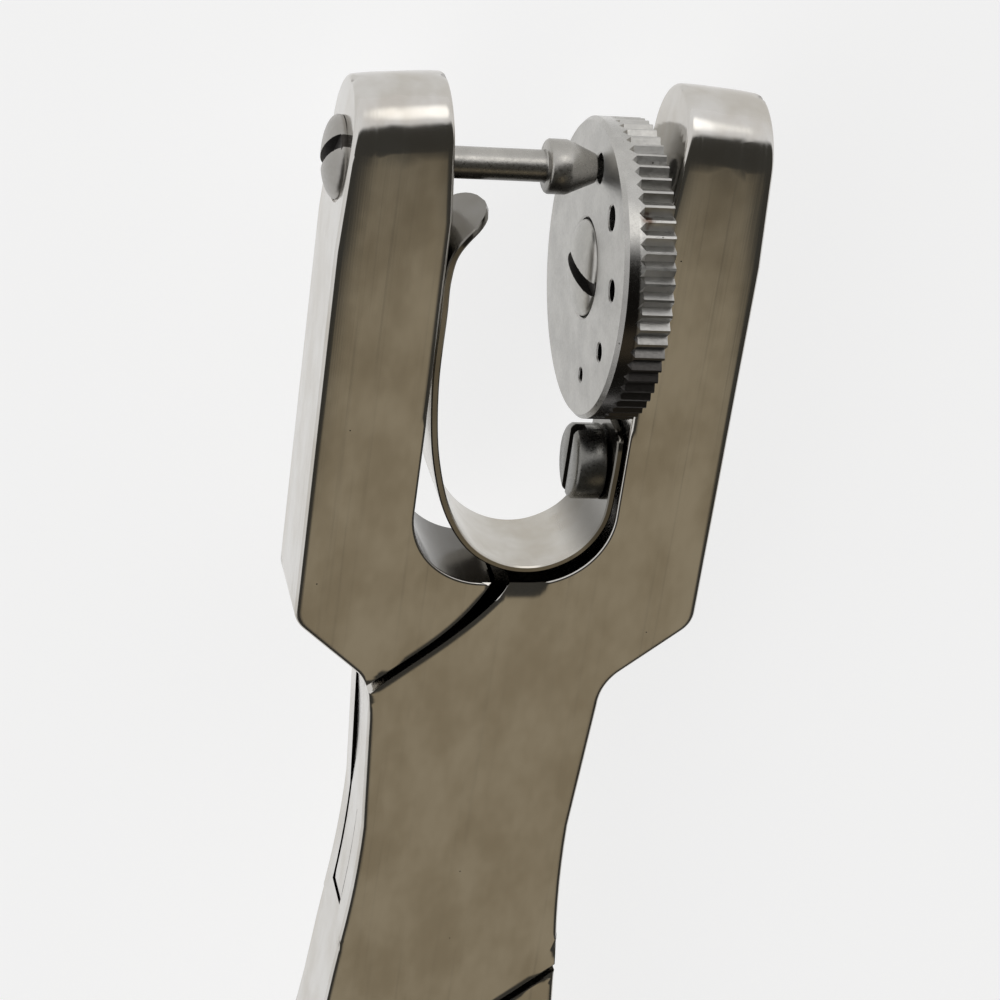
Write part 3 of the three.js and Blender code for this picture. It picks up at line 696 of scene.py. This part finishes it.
def unrolled_border(points, soft, tip):
    """The border as closely spaced points on the unrolled face, each flagged side, crisp or end."""
    border = []
    n = len(points)
    for i in range(n):
        a, b = points[i], points[(i + 1) % n]
        if soft[i]:
            before = (a - points[i - 1]).normalized()
            after = (b - points[(i + 2) % n]).normalized()
            up, down = tip_side(a, before, tip), tip_side(b, after, tip)
            border += [(p, "side") for p in [to_unrolled(a, tip)] + up[:-1]]
            border += [(up[-1].lerp(down[-1], k / 12), "end") for k in range(12)]
            border += [(p, "side") for p in reversed(down)]
            continue
        middle = (a + b) / 2
        crisp = is_crisp(middle)
        steps = max(1, math.ceil((b - a).length / ((1.2 if crisp else 0.7) * MM)))
        flag = "crisp" if crisp else "side"
        border += [(to_unrolled(a.lerp(b, k / steps), tip), flag) for k in range(steps)]
    return zip(*border)


def to_unrolled(p, tip):
    if tip is None:
        return Vector(p)
    origin, across, ahead = tip
    return Vector(((p - origin).dot(across), (p - origin).dot(ahead)))


def inner_points(outline, flags):
    """Rows of points beside the borders and a loose grid inside, for a smooth face."""
    ring = np.array([tuple(p) for p in outline])
    following = np.roll(ring, -1, axis=0)
    run = following - ring
    length = np.linalg.norm(run, axis=1)
    normal = np.column_stack([-run[:, 1], run[:, 0]]) / np.maximum(length, 1e-12)[:, None]
    blended = normal + np.roll(normal, 1, axis=0)
    blended /= np.maximum(np.linalg.norm(blended, axis=1), 1e-9)[:, None]
    flags = np.array(flags)
    side = flags == "side"
    crisp = flags == "crisp"
    rows = []
    for d in (0.02, 0.06, 0.12, 0.2, 0.32, 0.55, 0.9, 1.35, 1.9):
        chosen = side | (flags == "end") * (d > 0.1)
        rows.append((d * MM, ring[chosen] + blended[chosen] * d * MM))
    for d in (0.03, 0.12, 0.6):
        rows.append((d * MM, ring[crisp] + blended[crisp] * d * MM))
    low, high = ring.min(0), ring.max(0)
    step = 2.2 * MM
    xs = np.arange(low[0], high[0], step)
    ys = np.arange(low[1], high[1], step)
    grid = np.array([(x + (0.5 * step if j % 2 else 0), y) for j, y in enumerate(ys) for x in xs])
    rows.append((2.4 * MM, grid))
    if "end" in flags:
        across = np.arange(low[0], high[0], 1.2 * MM)
        tip_rows = np.linspace(0, high[1], 14)[:-1]
        rows.append((0.3 * MM, np.array([(x, y) for y in tip_rows for x in across])))
    kept = []
    for d, candidates in rows:
        if not len(candidates):
            continue
        distance = nearest_distance(candidates, ring, following)
        fine = inside(candidates, ring) & (distance > 0.8 * min(d, 0.9 * MM))
        if d >= 2.3 * MM:
            fine &= distance > 2.3 * MM
        kept.append(candidates[fine])
    return np.vstack(kept), ring, following, flags


def inside(points, ring):
    """Even-odd test of each point against the closed ring."""
    result = np.zeros(len(points), bool)
    following = np.roll(ring, -1, axis=0)
    for (x0, y0), (x1, y1) in zip(ring, following):
        crosses = (y0 > points[:, 1]) != (y1 > points[:, 1])
        with np.errstate(divide="ignore", invalid="ignore"):
            x = x0 + (points[:, 1] - y0) * (x1 - x0) / (y1 - y0)
        result ^= crosses & (points[:, 0] < x)
    return result


def front_points(flat, drops, tip, facet):
    """The unrolled face in space, about the pivot: lowered at its borders, and bent round any tip."""
    front = []
    for (p, q), drop in zip(flat, drops):
        if tip is None:
            front.append((p, q, half_thickness(q) - drop))
        elif q <= 0:
            place = tip[0] + tip[1] * p + tip[2] * q
            lowered = max(drop, facet(place.x, place.y)) if facet else drop
            front.append((place.x, place.y, half_thickness(place.y) - lowered))
        else:
            theta = q / HALF_DEPTH
            radius = HALF_DEPTH - drop
            place = tip[0] + tip[1] * p + tip[2] * (radius * math.sin(theta))
            front.append((place.x, place.y, radius * math.cos(theta)))
    return np.array(front)


def lever_slab(name, points, soft, facet=None):
    """One closed slab between front and back faces, with rolled borders and any half-round tip."""
    points, soft = tidy_loop(points, soft)
    tip = tip_frame(points, soft)
    outline, flags = unrolled_border(points, soft, tip)
    added, ring, following, flags = inner_points(outline, flags)
    count = len(ring)
    everything = [Vector(p) for p in np.vstack([ring, added])]
    edges = [(i, (i + 1) % count) for i in range(count)]
    found = delaunay_2d_cdt(everything, edges, [], 1, 1e-9)
    flat = np.array([tuple(v) for v in found[0]])
    triangles = [tuple(f) for f in found[2]]
    origin_of = {source: i for i, sources in enumerate(found[3]) for source in sources}
    border = [origin_of[i] for i in range(count)]
    front = front_points(flat, border_drop(flat, ring, following, flags, tip), tip, facet)
    vertices = [PIVOT + Vector(p) for p in front]
    total = len(front)
    vertices += [PIVOT + Vector((x, y, -z)) for x, y, z in front]
    faces = triangles + [tuple(total + i for i in reversed(t)) for t in triangles]
    rows = [border]
    for k in range(1, WALL_ROWS):
        share = k / WALL_ROWS
        row = []
        for i in border:
            x, y, z = front[i]
            vertices.append(PIVOT + Vector((x, y, z * (1 - 2 * share))))
            row.append(len(vertices) - 1)
        rows.append(row)
    rows.append([total + i for i in border])
    for upper, lower in zip(rows, rows[1:]):
        for i in range(count):
            j = (i + 1) % count
            if flags[i] != "end":
                faces.append((upper[i], lower[i], lower[j], upper[j]))
    slab = mesh_object(name, vertices, faces)
    with edited(slab.data) as bm:
        bmesh.ops.remove_doubles(bm, verts=bm.verts, dist=2e-7)
        bmesh.ops.dissolve_degenerate(bm, edges=bm.edges, dist=1e-7)
        bmesh.ops.recalc_face_normals(bm, faces=bm.faces)
    return slab


def prism(name, outline, low, high):
    """An XY outline about the pivot, from one height to another."""
    n = len(outline)
    vertices = [PIVOT + Vector((x, y, z)) for z in (low, high) for x, y in outline]
    faces = [tuple(range(n)), tuple(range(n, 2 * n))]
    faces += [(i, (i + 1) % n, n + (i + 1) % n, n + i) for i in range(n)]
    return outward(mesh_object(name, vertices, faces))


def pin_bore(low, high):
    turns = [2 * math.pi * k / 64 for k in range(64)]
    outline = [(PIN_BORE * math.cos(turn), PIN_BORE * math.sin(turn)) for turn in turns]
    return prism("pin_bore", outline, low, high)


EDGE_ANGLE = math.atan2(CROTCH.y, CROTCH.x) - math.acos(HUB_RADIUS / CROTCH.length)


def edge_point(radius, y):
    """The point at height y on the tongue's edge, which is tangent to the hub."""
    x, start_y = radius * math.cos(EDGE_ANGLE), radius * math.sin(EDGE_ANGLE)
    run = (y - start_y) / math.cos(EDGE_ANGLE)
    return (x - run * math.sin(EDGE_ANGLE), y)


def with_half_turn(points):
    return points + [(-x, -y) for x, y in points]


def lobe_arc(hub_radius, radius):
    """From beside the box round to the straight edge that is tangent to the hub."""
    end = EDGE_ANGLE + math.acos(hub_radius / radius)
    turns = [EDGE_ANGLE + (end - EDGE_ANGLE) * k / 24 for k in range(25)]
    return [(radius * math.cos(turn), radius * math.sin(turn)) for turn in turns]


def box_half_width(y):
    """The box's sides are quadratic curves."""
    t = (y + BOX_END_Y) / (2 * BOX_END_Y)
    return BOX_END_HALF * ((1 - t) ** 2 + t**2) + 2 * BOX_BOW_HALF * t * (1 - t)


def tongue_outline():
    """Flush with the box's sides, round at its free corners, straight from there to the crotch."""
    def side(y):
        return box_half_width(y * MM) - FLUSH_GAP

    lobe = [(x, y) for x, y in lobe_arc(HUB_RADIUS, LOBE_RADIUS) if x < side(y / MM)]
    right = [(side(y), y * MM) for y in (0.8, 2.8, 4.8, 6.4, 7.6)]
    left = [(-side(y), y * MM) for y in (10.6, 8.8, 6.8, 4.8, 2.8, 0.8)]
    inner = edge_point(HUB_RADIUS, CROTCH.y - 0.3 * MM)
    shoulder = [inner, (-4.5 * MM, 20.4 * MM), (-8.6 * MM, 12.2 * MM)]
    return with_half_turn(right + lobe + shoulder + left)


def slot_outline():
    """The slot that the tongue passes and turns in."""
    top = edge_point(HUB_RADIUS + SLOT_GAP, CROTCH.y + 6 * MM)
    lobe = lobe_arc(HUB_RADIUS + SLOT_GAP, LOBE_RADIUS + SLOT_GAP)
    return with_half_turn(lobe + [top, (-60 * MM, top[1])])


def anvil_lever_piece():
    loops = sorted(face_loops("anvil_lever"), key=lambda item: -len(item[0]))
    lever = lever_slab("anvil_lever_look", *loops[0], facet=crotch_facet)
    plug_low, plug_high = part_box("detent_plug")
    plug_axis = (plug_low + plug_high) / 2
    leaf_axis = (LEAF_SCREW_LOW + LEAF_SCREW_HIGH) / 2
    half = TONGUE_HALF + SLOT_GAP
    return cut(lever, [
        prism("slot", slot_outline(), -half, half),
        pin_bore(-9 * MM, 3 * MM),
        rod("plug_bore", plug_axis, 1.82 * MM, plug_low.x - 0.2 * MM, plug_high.x + 5 * MM),
        rod("wheel_bore", WHEEL_AXIS, 1.62 * MM, WHEEL_HIGH.x - 2 * MM, SCREW_HIGH.x + 0.3 * MM),
        rod("leaf_bore", leaf_axis, LEAF_SCREW_BORE, LEAF_SCREW_LOW.x, LEAF_SCREW_HIGH.x + 0.3 * MM),
    ])


def punch_lever_piece():
    loops = sorted(face_loops("punch_lever"), key=lambda item: -len(item[0]))[:2]
    jaw = lever_slab("punch_lever_look", *loops[0])
    handle = lever_slab("handle_part", *loops[1])
    tongue = prism("tongue", tongue_outline(), -TONGUE_HALF, TONGUE_HALF)
    combine(jaw, [handle, tongue], "UNION")
    axis = (PUNCH_SCREW_LOW + PUNCH_SCREW_HIGH) / 2
    seat = PUNCH_SCREW_LOW.x + 1.1 * MM
    return cut(jaw, [
        pin_bore(-9 * MM, 9 * MM),
        lathe("seat", [(seat - 9 * MM, 0), (seat - 9 * MM, 3.1 * MM), (seat, 2.98 * MM),
                       (seat + 0.04 * MM, 2.9 * MM), (seat + 0.04 * MM, 0)], axis, segments=64),
        rod("rod_bore", axis, 1.16 * MM, seat, STYLUS_HIGH.x),
    ])


finish_piece(shade(anvil_lever_piece(), 36), "anvil_side", ["anvil_lever"], LEVER)
finish_piece(shade(punch_lever_piece(), 36), "punch_side", ["punch_lever"], LEVER)


# -------------------------------- anvil wheel
HOLE_CIRCLE = 7.3 * MM  # radius
HOLE_STEP = math.radians(38.5)
HOLE_DIAMETERS = (2.1, 1.7, 1.45, 1.25, 0.95)  # mm


def wheel_blank():
    """The wheel without its holes: a bevelled rim with grooves that run out in points."""
    grooves = 62
    phase = 0.72
    depth = 0.46 * MM
    half = 0.42  # half the groove's width, in pitches
    radius = (WHEEL_HIGH.z - WHEEL_LOW.z) / 2
    face, back = WHEEL_LOW.x, WHEEL_HIGH.x
    tip_x = face + 0.98 * MM
    full_x = face + 1.4 * MM
    chamfer = 0.28 * MM
    pitch = 2 * math.pi / grooves
    vertices, faces = [], []

    def point(x, a, r):
        vertices.append((x, WHEEL_AXIS.y + r * math.cos(a), WHEEL_AXIS.z + r * math.sin(a)))
        return len(vertices) - 1

    front, edge, band, crest_a, crest_b, floor_a, rear_a, rear_b, rear_floor = ([] for _ in range(9))
    for i in range(grooves):
        a = (i + phase) * pitch
        for k in (0, 0.25, 0.5, 0.75):
            front.append(point(face, a + k * pitch, radius - chamfer))
            edge.append(point(face + chamfer, a + k * pitch, radius))
        band.append((point(tip_x, a, radius), point(tip_x, a + 0.5 * pitch, radius)))
        crest_a.append(point(full_x, a - half * pitch, radius))
        crest_b.append(point(full_x, a + half * pitch, radius))
        floor_a.append(point(full_x, a, radius - depth))
        rear_a.append(point(back, a - half * pitch, radius))
        rear_b.append(point(back, a + half * pitch, radius))
        rear_floor.append(point(back, a, radius - depth))
    n = grooves
    for i in range(n):
        j = (i + 1) % n
        for k in range(4):
            p, q = 4 * i + k, (4 * i + k + 1) % (4 * n)
            faces.append((front[p], edge[p], edge[q], front[q]))
        tip, land = band[i]
        tip_next = band[j][0]
        faces.append((edge[4 * i], tip, land, edge[4 * i + 2], edge[4 * i + 1]))
        faces.append((edge[4 * i + 2], land, tip_next, edge[(4 * i + 4) % (4 * n)], edge[4 * i + 3]))
        faces.append((tip, crest_b[i], crest_a[j], tip_next, land))
        faces.append((tip, floor_a[i], crest_b[i]))
        faces.append((tip, crest_a[i], floor_a[i]))
        faces.append((crest_b[i], rear_b[i], rear_a[j], crest_a[j]))
        faces.append((floor_a[i], rear_floor[i], rear_b[i], crest_b[i]))
        faces.append((crest_a[i], rear_a[i], rear_floor[i], floor_a[i]))
    centre_front = point(face, 0, 0)
    centre_back = point(back, 0, 0)
    for p in range(4 * n):
        faces.append((centre_front, front[p], front[(p + 1) % (4 * n)]))
    for i in range(n):
        j = (i + 1) % n
        faces.append((centre_back, rear_floor[i], rear_a[i]))
        faces.append((centre_back, rear_b[i], rear_floor[i]))
        faces.append((centre_back, rear_a[j], rear_b[i]))
    return outward(mesh_object("anvil_wheel_look", vertices, faces))


def wheel_piece():
    face = WHEEL_LOW.x
    far_front, far_back = face - 5 * MM, WHEEL_HIGH.x + 5 * MM
    bore = 2.15 * MM
    floor_x = face + 0.6 * MM
    cutters = [
        lathe("recess", [(far_front, 0), (far_front, 3.8 * MM), (face, 3.56 * MM),
                         (face + 0.1 * MM, 3.44 * MM), (floor_x, 3.42 * MM), (floor_x, bore),
                         (far_back, bore), (far_back, 0)], WHEEL_AXIS, segments=60),
    ]
    for i, diameter in enumerate(HOLE_DIAMETERS):
        turn = HOLE_STEP * i
        at = WHEEL_AXIS + HOLE_CIRCLE * Vector((0, math.cos(turn), math.sin(turn)))
        r = diameter / 2 * MM
        profile = [(far_front, 0), (far_front, r + 0.12 * MM), (face, r + 0.09 * MM),
                   (face + 0.09 * MM, r), (far_back, r), (far_back, 0)]
        cutters.append(lathe(f"hole{i}", profile, at, segments=28))
    return shade(cut(wheel_blank(), cutters), 24)


finish_piece(wheel_piece(), "wheel", ["anvil_wheel"], WHEEL)


# -------------------------------- turned pieces and screws
WHEEL_SLOT_TURN = math.radians(3)
PUNCH_SLOT_TURN = math.radians(-45)
LEAF_SLOT_TURN = math.radians(90)
DOME_SLOT_WIDTH = 0.95 * MM


def stylus_piece():
    axis = (STYLUS_LOW + STYLUS_HIGH) / 2
    root, tip = STYLUS_LOW.x, STYLUS_HIGH.x
    r = 1.08 * MM
    collar = 1.85 * MM
    a = tip - 3.45 * MM  # where the collar starts
    b = tip - 1.97 * MM  # where its cone starts
    small = 0.12 * MM
    rod_part = [(root, 0), (root, r - small), (root + small, r), (a - 0.14 * MM, r),
                (a - 0.03 * MM, r + 0.05 * MM), (a, r + 0.14 * MM)]
    collar_part = [(a, collar - 0.2 * MM), (a + 0.07 * MM, collar - 0.08 * MM),
                   (a + 0.2 * MM, collar), (b - 0.12 * MM, collar)]
    cone = [(b + 0.05 * MM, collar - 0.05 * MM), (b + 0.2 * MM, collar - 0.12 * MM),
            (tip - small, 1.02 * MM), (tip - 0.04 * MM, 0.97 * MM), (tip, 0.86 * MM), (tip, 0)]
    return shade(lathe("punch_stylus_look", rod_part + collar_part + cone, axis), 40)


def dome_profile(base, height, radius, edge):
    """A shallow dome on a short cylindrical edge. height and edge are negative, towards -X."""
    turns = [math.pi / 2 * i / 14 for i in range(15)]
    return [(base + edge + (height - edge) * math.cos(a), radius * math.sin(a)) for a in turns]


def wheel_screw_piece():
    base = WHEEL_LOW.x + 0.5 * MM
    top = SCREW_LOW.x
    radius, shoulder, shank = 3.3 * MM, 2.0 * MM, 1.5 * MM
    shoulder_end = top + 5.0 * MM
    profile = dome_profile(base, top - base, radius, -0.46 * MM)
    profile += [(base, radius - 0.02 * MM), (base, shoulder), (shoulder_end, shoulder)]
    profile += [(shoulder_end, shank), (SCREW_HIGH.x, shank), (SCREW_HIGH.x, 0)]
    screw = lathe("wheel_screw_look", profile, WHEEL_AXIS)
    slot_at = Vector((top, WHEEL_AXIS.y, WHEEL_AXIS.z))
    return slotted(screw, slot_at, WHEEL_SLOT_TURN, DOME_SLOT_WIDTH, 0.8 * MM, 0.05 * MM)


def punch_screw_piece():
    axis = (PUNCH_SCREW_LOW + PUNCH_SCREW_HIGH) / 2
    top = PUNCH_SCREW_LOW.x
    base = top + 1.2 * MM
    radius, shank = 2.8 * MM, 1.6 * MM
    profile = dome_profile(base, top - base, radius, -0.2 * MM)
    profile += [(base, radius - 0.03 * MM), (base, shank)]
    profile += [(PUNCH_SCREW_HIGH.x, shank), (PUNCH_SCREW_HIGH.x, 0)]
    screw = lathe("punch_screw_look", profile, axis, segments=80)
    slot_at = Vector((top, axis.y, axis.z))
    return slotted(screw, slot_at, PUNCH_SLOT_TURN, DOME_SLOT_WIDTH, 0.8 * MM, 0.06 * MM)


def leaf_screw_piece():
    low, high = LEAF_SCREW_LOW, LEAF_SCREW_HIGH
    axis = (low + high) / 2
    radius = (high.z - low.z) / 2
    head = low.x + 2.2 * MM
    profile = [(low.x, 0), (low.x, radius - 0.35 * MM), (low.x + 0.1 * MM, radius - 0.16 * MM),
               (low.x + 0.3 * MM, radius), (head - 0.1 * MM, radius), (head, radius - 0.1 * MM),
               (head, 1.4 * MM), (high.x, 1.4 * MM), (high.x, 0)]
    screw = lathe("leaf_spring_screw_look", profile, axis, segments=72)
    slot_at = Vector((low.x, axis.y, axis.z))
    return slotted(screw, slot_at, LEAF_SLOT_TURN, 0.9 * MM, 0.9 * MM, 0.05 * MM)


finish_piece(stylus_piece(), "punch_side", ["punch_stylus"], STYLUS)
finish_piece(punch_screw_piece(), "punch_side", ["punch_screw"], TURNED)
finish_piece(wheel_screw_piece(), "anvil_side", ["wheel_screw"], BUTTON)
finish_piece(leaf_screw_piece(), "anvil_side", ["leaf_spring_screw"], DARK)


# -------------------------------- leaf spring
# The leaf's middle line in mm about the pivot, from the wheel jaw round the throat to its free end.
LEAF_STATIONS = [(7.05, 32.6), (7.05, 28.9), (6.75, 25.6), (5.3, 23.3), (2.9, 22.0), (0.3, 22.0),
                 (-2.3, 23.3), (-4.35, 26.0), (-5.85, 30.4), (-6.6, 36.0), (-6.68, 41.6), (-6.72, 44.0),
                 (-6.45, 45.8), (-5.75, 47.0), (-4.9, 47.65), (-3.95, 48.15)]


def smooth_line(stations, count):
    """Points at even spacing on a Catmull-Rom line through the stations, and their run."""
    points = np.array(stations, float)
    ends = np.vstack([2 * points[0] - points[1], points, 2 * points[-1] - points[-2]])
    dense = []
    for i in range(1, len(ends) - 2):
        p0, p1, p2, p3 = ends[i - 1:i + 3]
        k0, k1, k2 = np.sqrt(np.linalg.norm(np.diff(ends[i - 1:i + 3], axis=0), axis=1))
        m1 = (p2 - p1) + k1 * ((p1 - p0) / k0 - (p2 - p0) / (k0 + k1))
        m2 = (p2 - p1) + k1 * ((p3 - p2) / k2 - (p3 - p1) / (k1 + k2))
        for t in np.linspace(0, 1, 24, endpoint=False):
            h = (2 * t**3 - 3 * t**2 + 1) * p1 + (t**3 - 2 * t**2 + t) * m1
            dense.append(h + (-2 * t**3 + 3 * t**2) * p2 + (t**3 - t**2) * m2)
    dense.append(points[-1])
    dense = np.array(dense)
    run = np.concatenate([[0], np.cumsum(np.linalg.norm(np.diff(dense, axis=0), axis=1))])
    even = np.linspace(0, run[-1], count)
    return np.column_stack([np.interp(even, run, dense[:, k]) for k in range(2)]), even


def leaf_half_width(run, left):
    """In mm, at a run from the screwed end and with so much left: both ends are rounded."""
    full, start_round, end_round = 3.4, 1.0, 2.6
    if left < end_round:
        return full * math.sqrt(max(1 - ((end_round - left) / end_round) ** 2, 0.01))
    if run < start_round:
        rise = math.sqrt(max(1 - ((start_round - run) / start_round) ** 2, 0))
        return full - start_round + start_round * rise
    return full


def leaf_section(w):
    """The strip's cross-section in mm, (offset, z) pairs, with softened edges."""
    half_thick, soft, columns = 0.25, 0.1, 12
    across = [-w + soft + (2 * w - 2 * soft) * k / columns for k in range(columns + 1)]
    front = [(half_thick, z) for z in across] + [(half_thick - soft, w), (soft - half_thick, w)]
    back = [(-half_thick, z) for z in reversed(across)]
    return front + back + [(soft - half_thick, -w), (half_thick - soft, -w)]


def leaf_piece():
    count = 150
    line, run = smooth_line(LEAF_STATIONS, count)
    tangent = np.gradient(line, axis=0)
    tangent /= np.linalg.norm(tangent, axis=1)[:, None]
    side = np.column_stack([-tangent[:, 1], tangent[:, 0]])
    vertices = []
    for i in range(count):
        for offset, z in leaf_section(leaf_half_width(run[i], run[-1] - run[i])):
            x = line[i, 0] + side[i, 0] * offset
            y = line[i, 1] + side[i, 1] * offset
            vertices.append(PIVOT + Vector((x, y, z)) * MM)
    ring = len(vertices) // count
    faces = []
    for i in range(count - 1):
        for k in range(ring):
            a, b = i * ring + k, i * ring + (k + 1) % ring
            faces.append((a, b, b + ring, a + ring))
    faces.append(tuple(range(ring)))
    faces.append(tuple(reversed(range((count - 1) * ring, count * ring))))
    spring = outward(mesh_object("leaf_spring_look", vertices, faces))
    axis = (LEAF_SCREW_LOW + LEAF_SCREW_HIGH) / 2
    cut(spring, [rod("screw_hole", axis, LEAF_SCREW_BORE, axis.x - 9 * MM, axis.x + 9 * MM)])
    return shade(spring, 38)


leaf_look = finish_piece(leaf_piece(), None, ["leaf_spring"], SPRING)
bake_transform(leaf_look)

# The pieces that are inside, or show only on the back, keep their CAD shape.
for name, material in (("pivot_pin", TURNED), ("wheel_washer", SPRING), ("detent_ball", TURNED),
                       ("detent_spring", SPRING), ("detent_plug", DARK)):
    cad = frame["nodes"][name]
    cad.data.materials.clear()
    cad.data.materials.append(material)


# -------------------------------- floor, light, camera
def floor():
    size = 4.0
    corners = [(-size, -size, 0), (size, -size, 0), (size, size, 0), (-size, size, 0)]
    plane = mesh_object("studio_floor", corners, [(0, 1, 2, 3)])
    material, tree, shader = new_material("floor_paper")
    shader.inputs["Base Color"].default_value = (0.3, 0.3, 0.3, 1)
    shader.inputs["Roughness"].default_value = 0.9
    shader.inputs["Specular IOR Level"].default_value = 0.1
    shader.inputs["Emission Color"].default_value = (1, 1, 1, 1)
    shader.inputs["Emission Strength"].default_value = 0.76
    plane.data.materials.append(material)


def direction_mask(tree, direction, centre, inner, outer):
    """1 within inner degrees of the centre direction, 0 beyond outer degrees."""
    dot = vector_node(tree, "DOT_PRODUCT", direction, Vector(centre).normalized())
    low, high = math.cos(math.radians(outer)), math.cos(math.radians(inner))
    return ranged(tree, dot["Value"], low, high, 0, 1)


def surroundings():
    """A pale studio, with a dark part overhead and a warm card in it that the front faces mirror."""
    world = bpy.data.worlds.new("studio")
    bpy.context.scene.world = world
    world.use_nodes = True
    tree = world.node_tree
    tree.nodes.clear()
    output = tree.nodes.new("ShaderNodeOutputWorld")
    background = tree.nodes.new("ShaderNodeBackground")
    link(tree, background.outputs["Background"], output.inputs["Surface"])
    direction = tree.nodes.new("ShaderNodeTexCoord").outputs["Generated"]
    dark = direction_mask(tree, direction, (0.35, -0.45, 0.82), 57, 66)
    card = direction_mask(tree, direction, (0.24, -0.55, 0.80), 9, 15)
    near_side = direction_mask(tree, direction, (0.1, -0.95, 0.1), 38, 60)
    strip = direction_mask(tree, direction, (0.2, 0.83, 0.52), 4, 16)
    colour = mix_colour(tree, strip, (0.95, 0.95, 0.96), (1.9, 1.88, 1.85))
    colour = mix_colour(tree, near_side, colour, (0.09, 0.085, 0.075))
    colour = mix_colour(tree, dark, colour, (0.05, 0.048, 0.042))
    colour = mix_colour(tree, card, colour, (0.345, 0.292, 0.205))
    link(tree, colour, background.inputs["Color"])
    background.inputs["Strength"].default_value = 1.0


def camera():
    """At the photo's angle, fitted to the tool's lines."""
    data = bpy.data.cameras.new("camera")
    data.sensor_width = 36
    data.lens = 103.79
    data.clip_start = 0.01
    view = bpy.data.objects.new("camera", data)
    bpy.context.scene.collection.objects.link(view)
    right = Vector((0.9718, 0.1295, 0.1972)).normalized()
    back = Vector((-0.2354, 0.4764, 0.8471)).normalized()
    up = back.cross(right).normalized()
    right = up.cross(back).normalized()
    place = PIVOT + Vector((-48.13, 122.90, 173.06)) * MM
    turned = Matrix((right, up, back)).transposed()
    view.matrix_world = Matrix.Translation(place) @ turned.to_4x4()
    bpy.context.scene.camera = view


floor()
surroundings()
camera()
bpy.context.scene.view_settings.view_transform = "Standard"
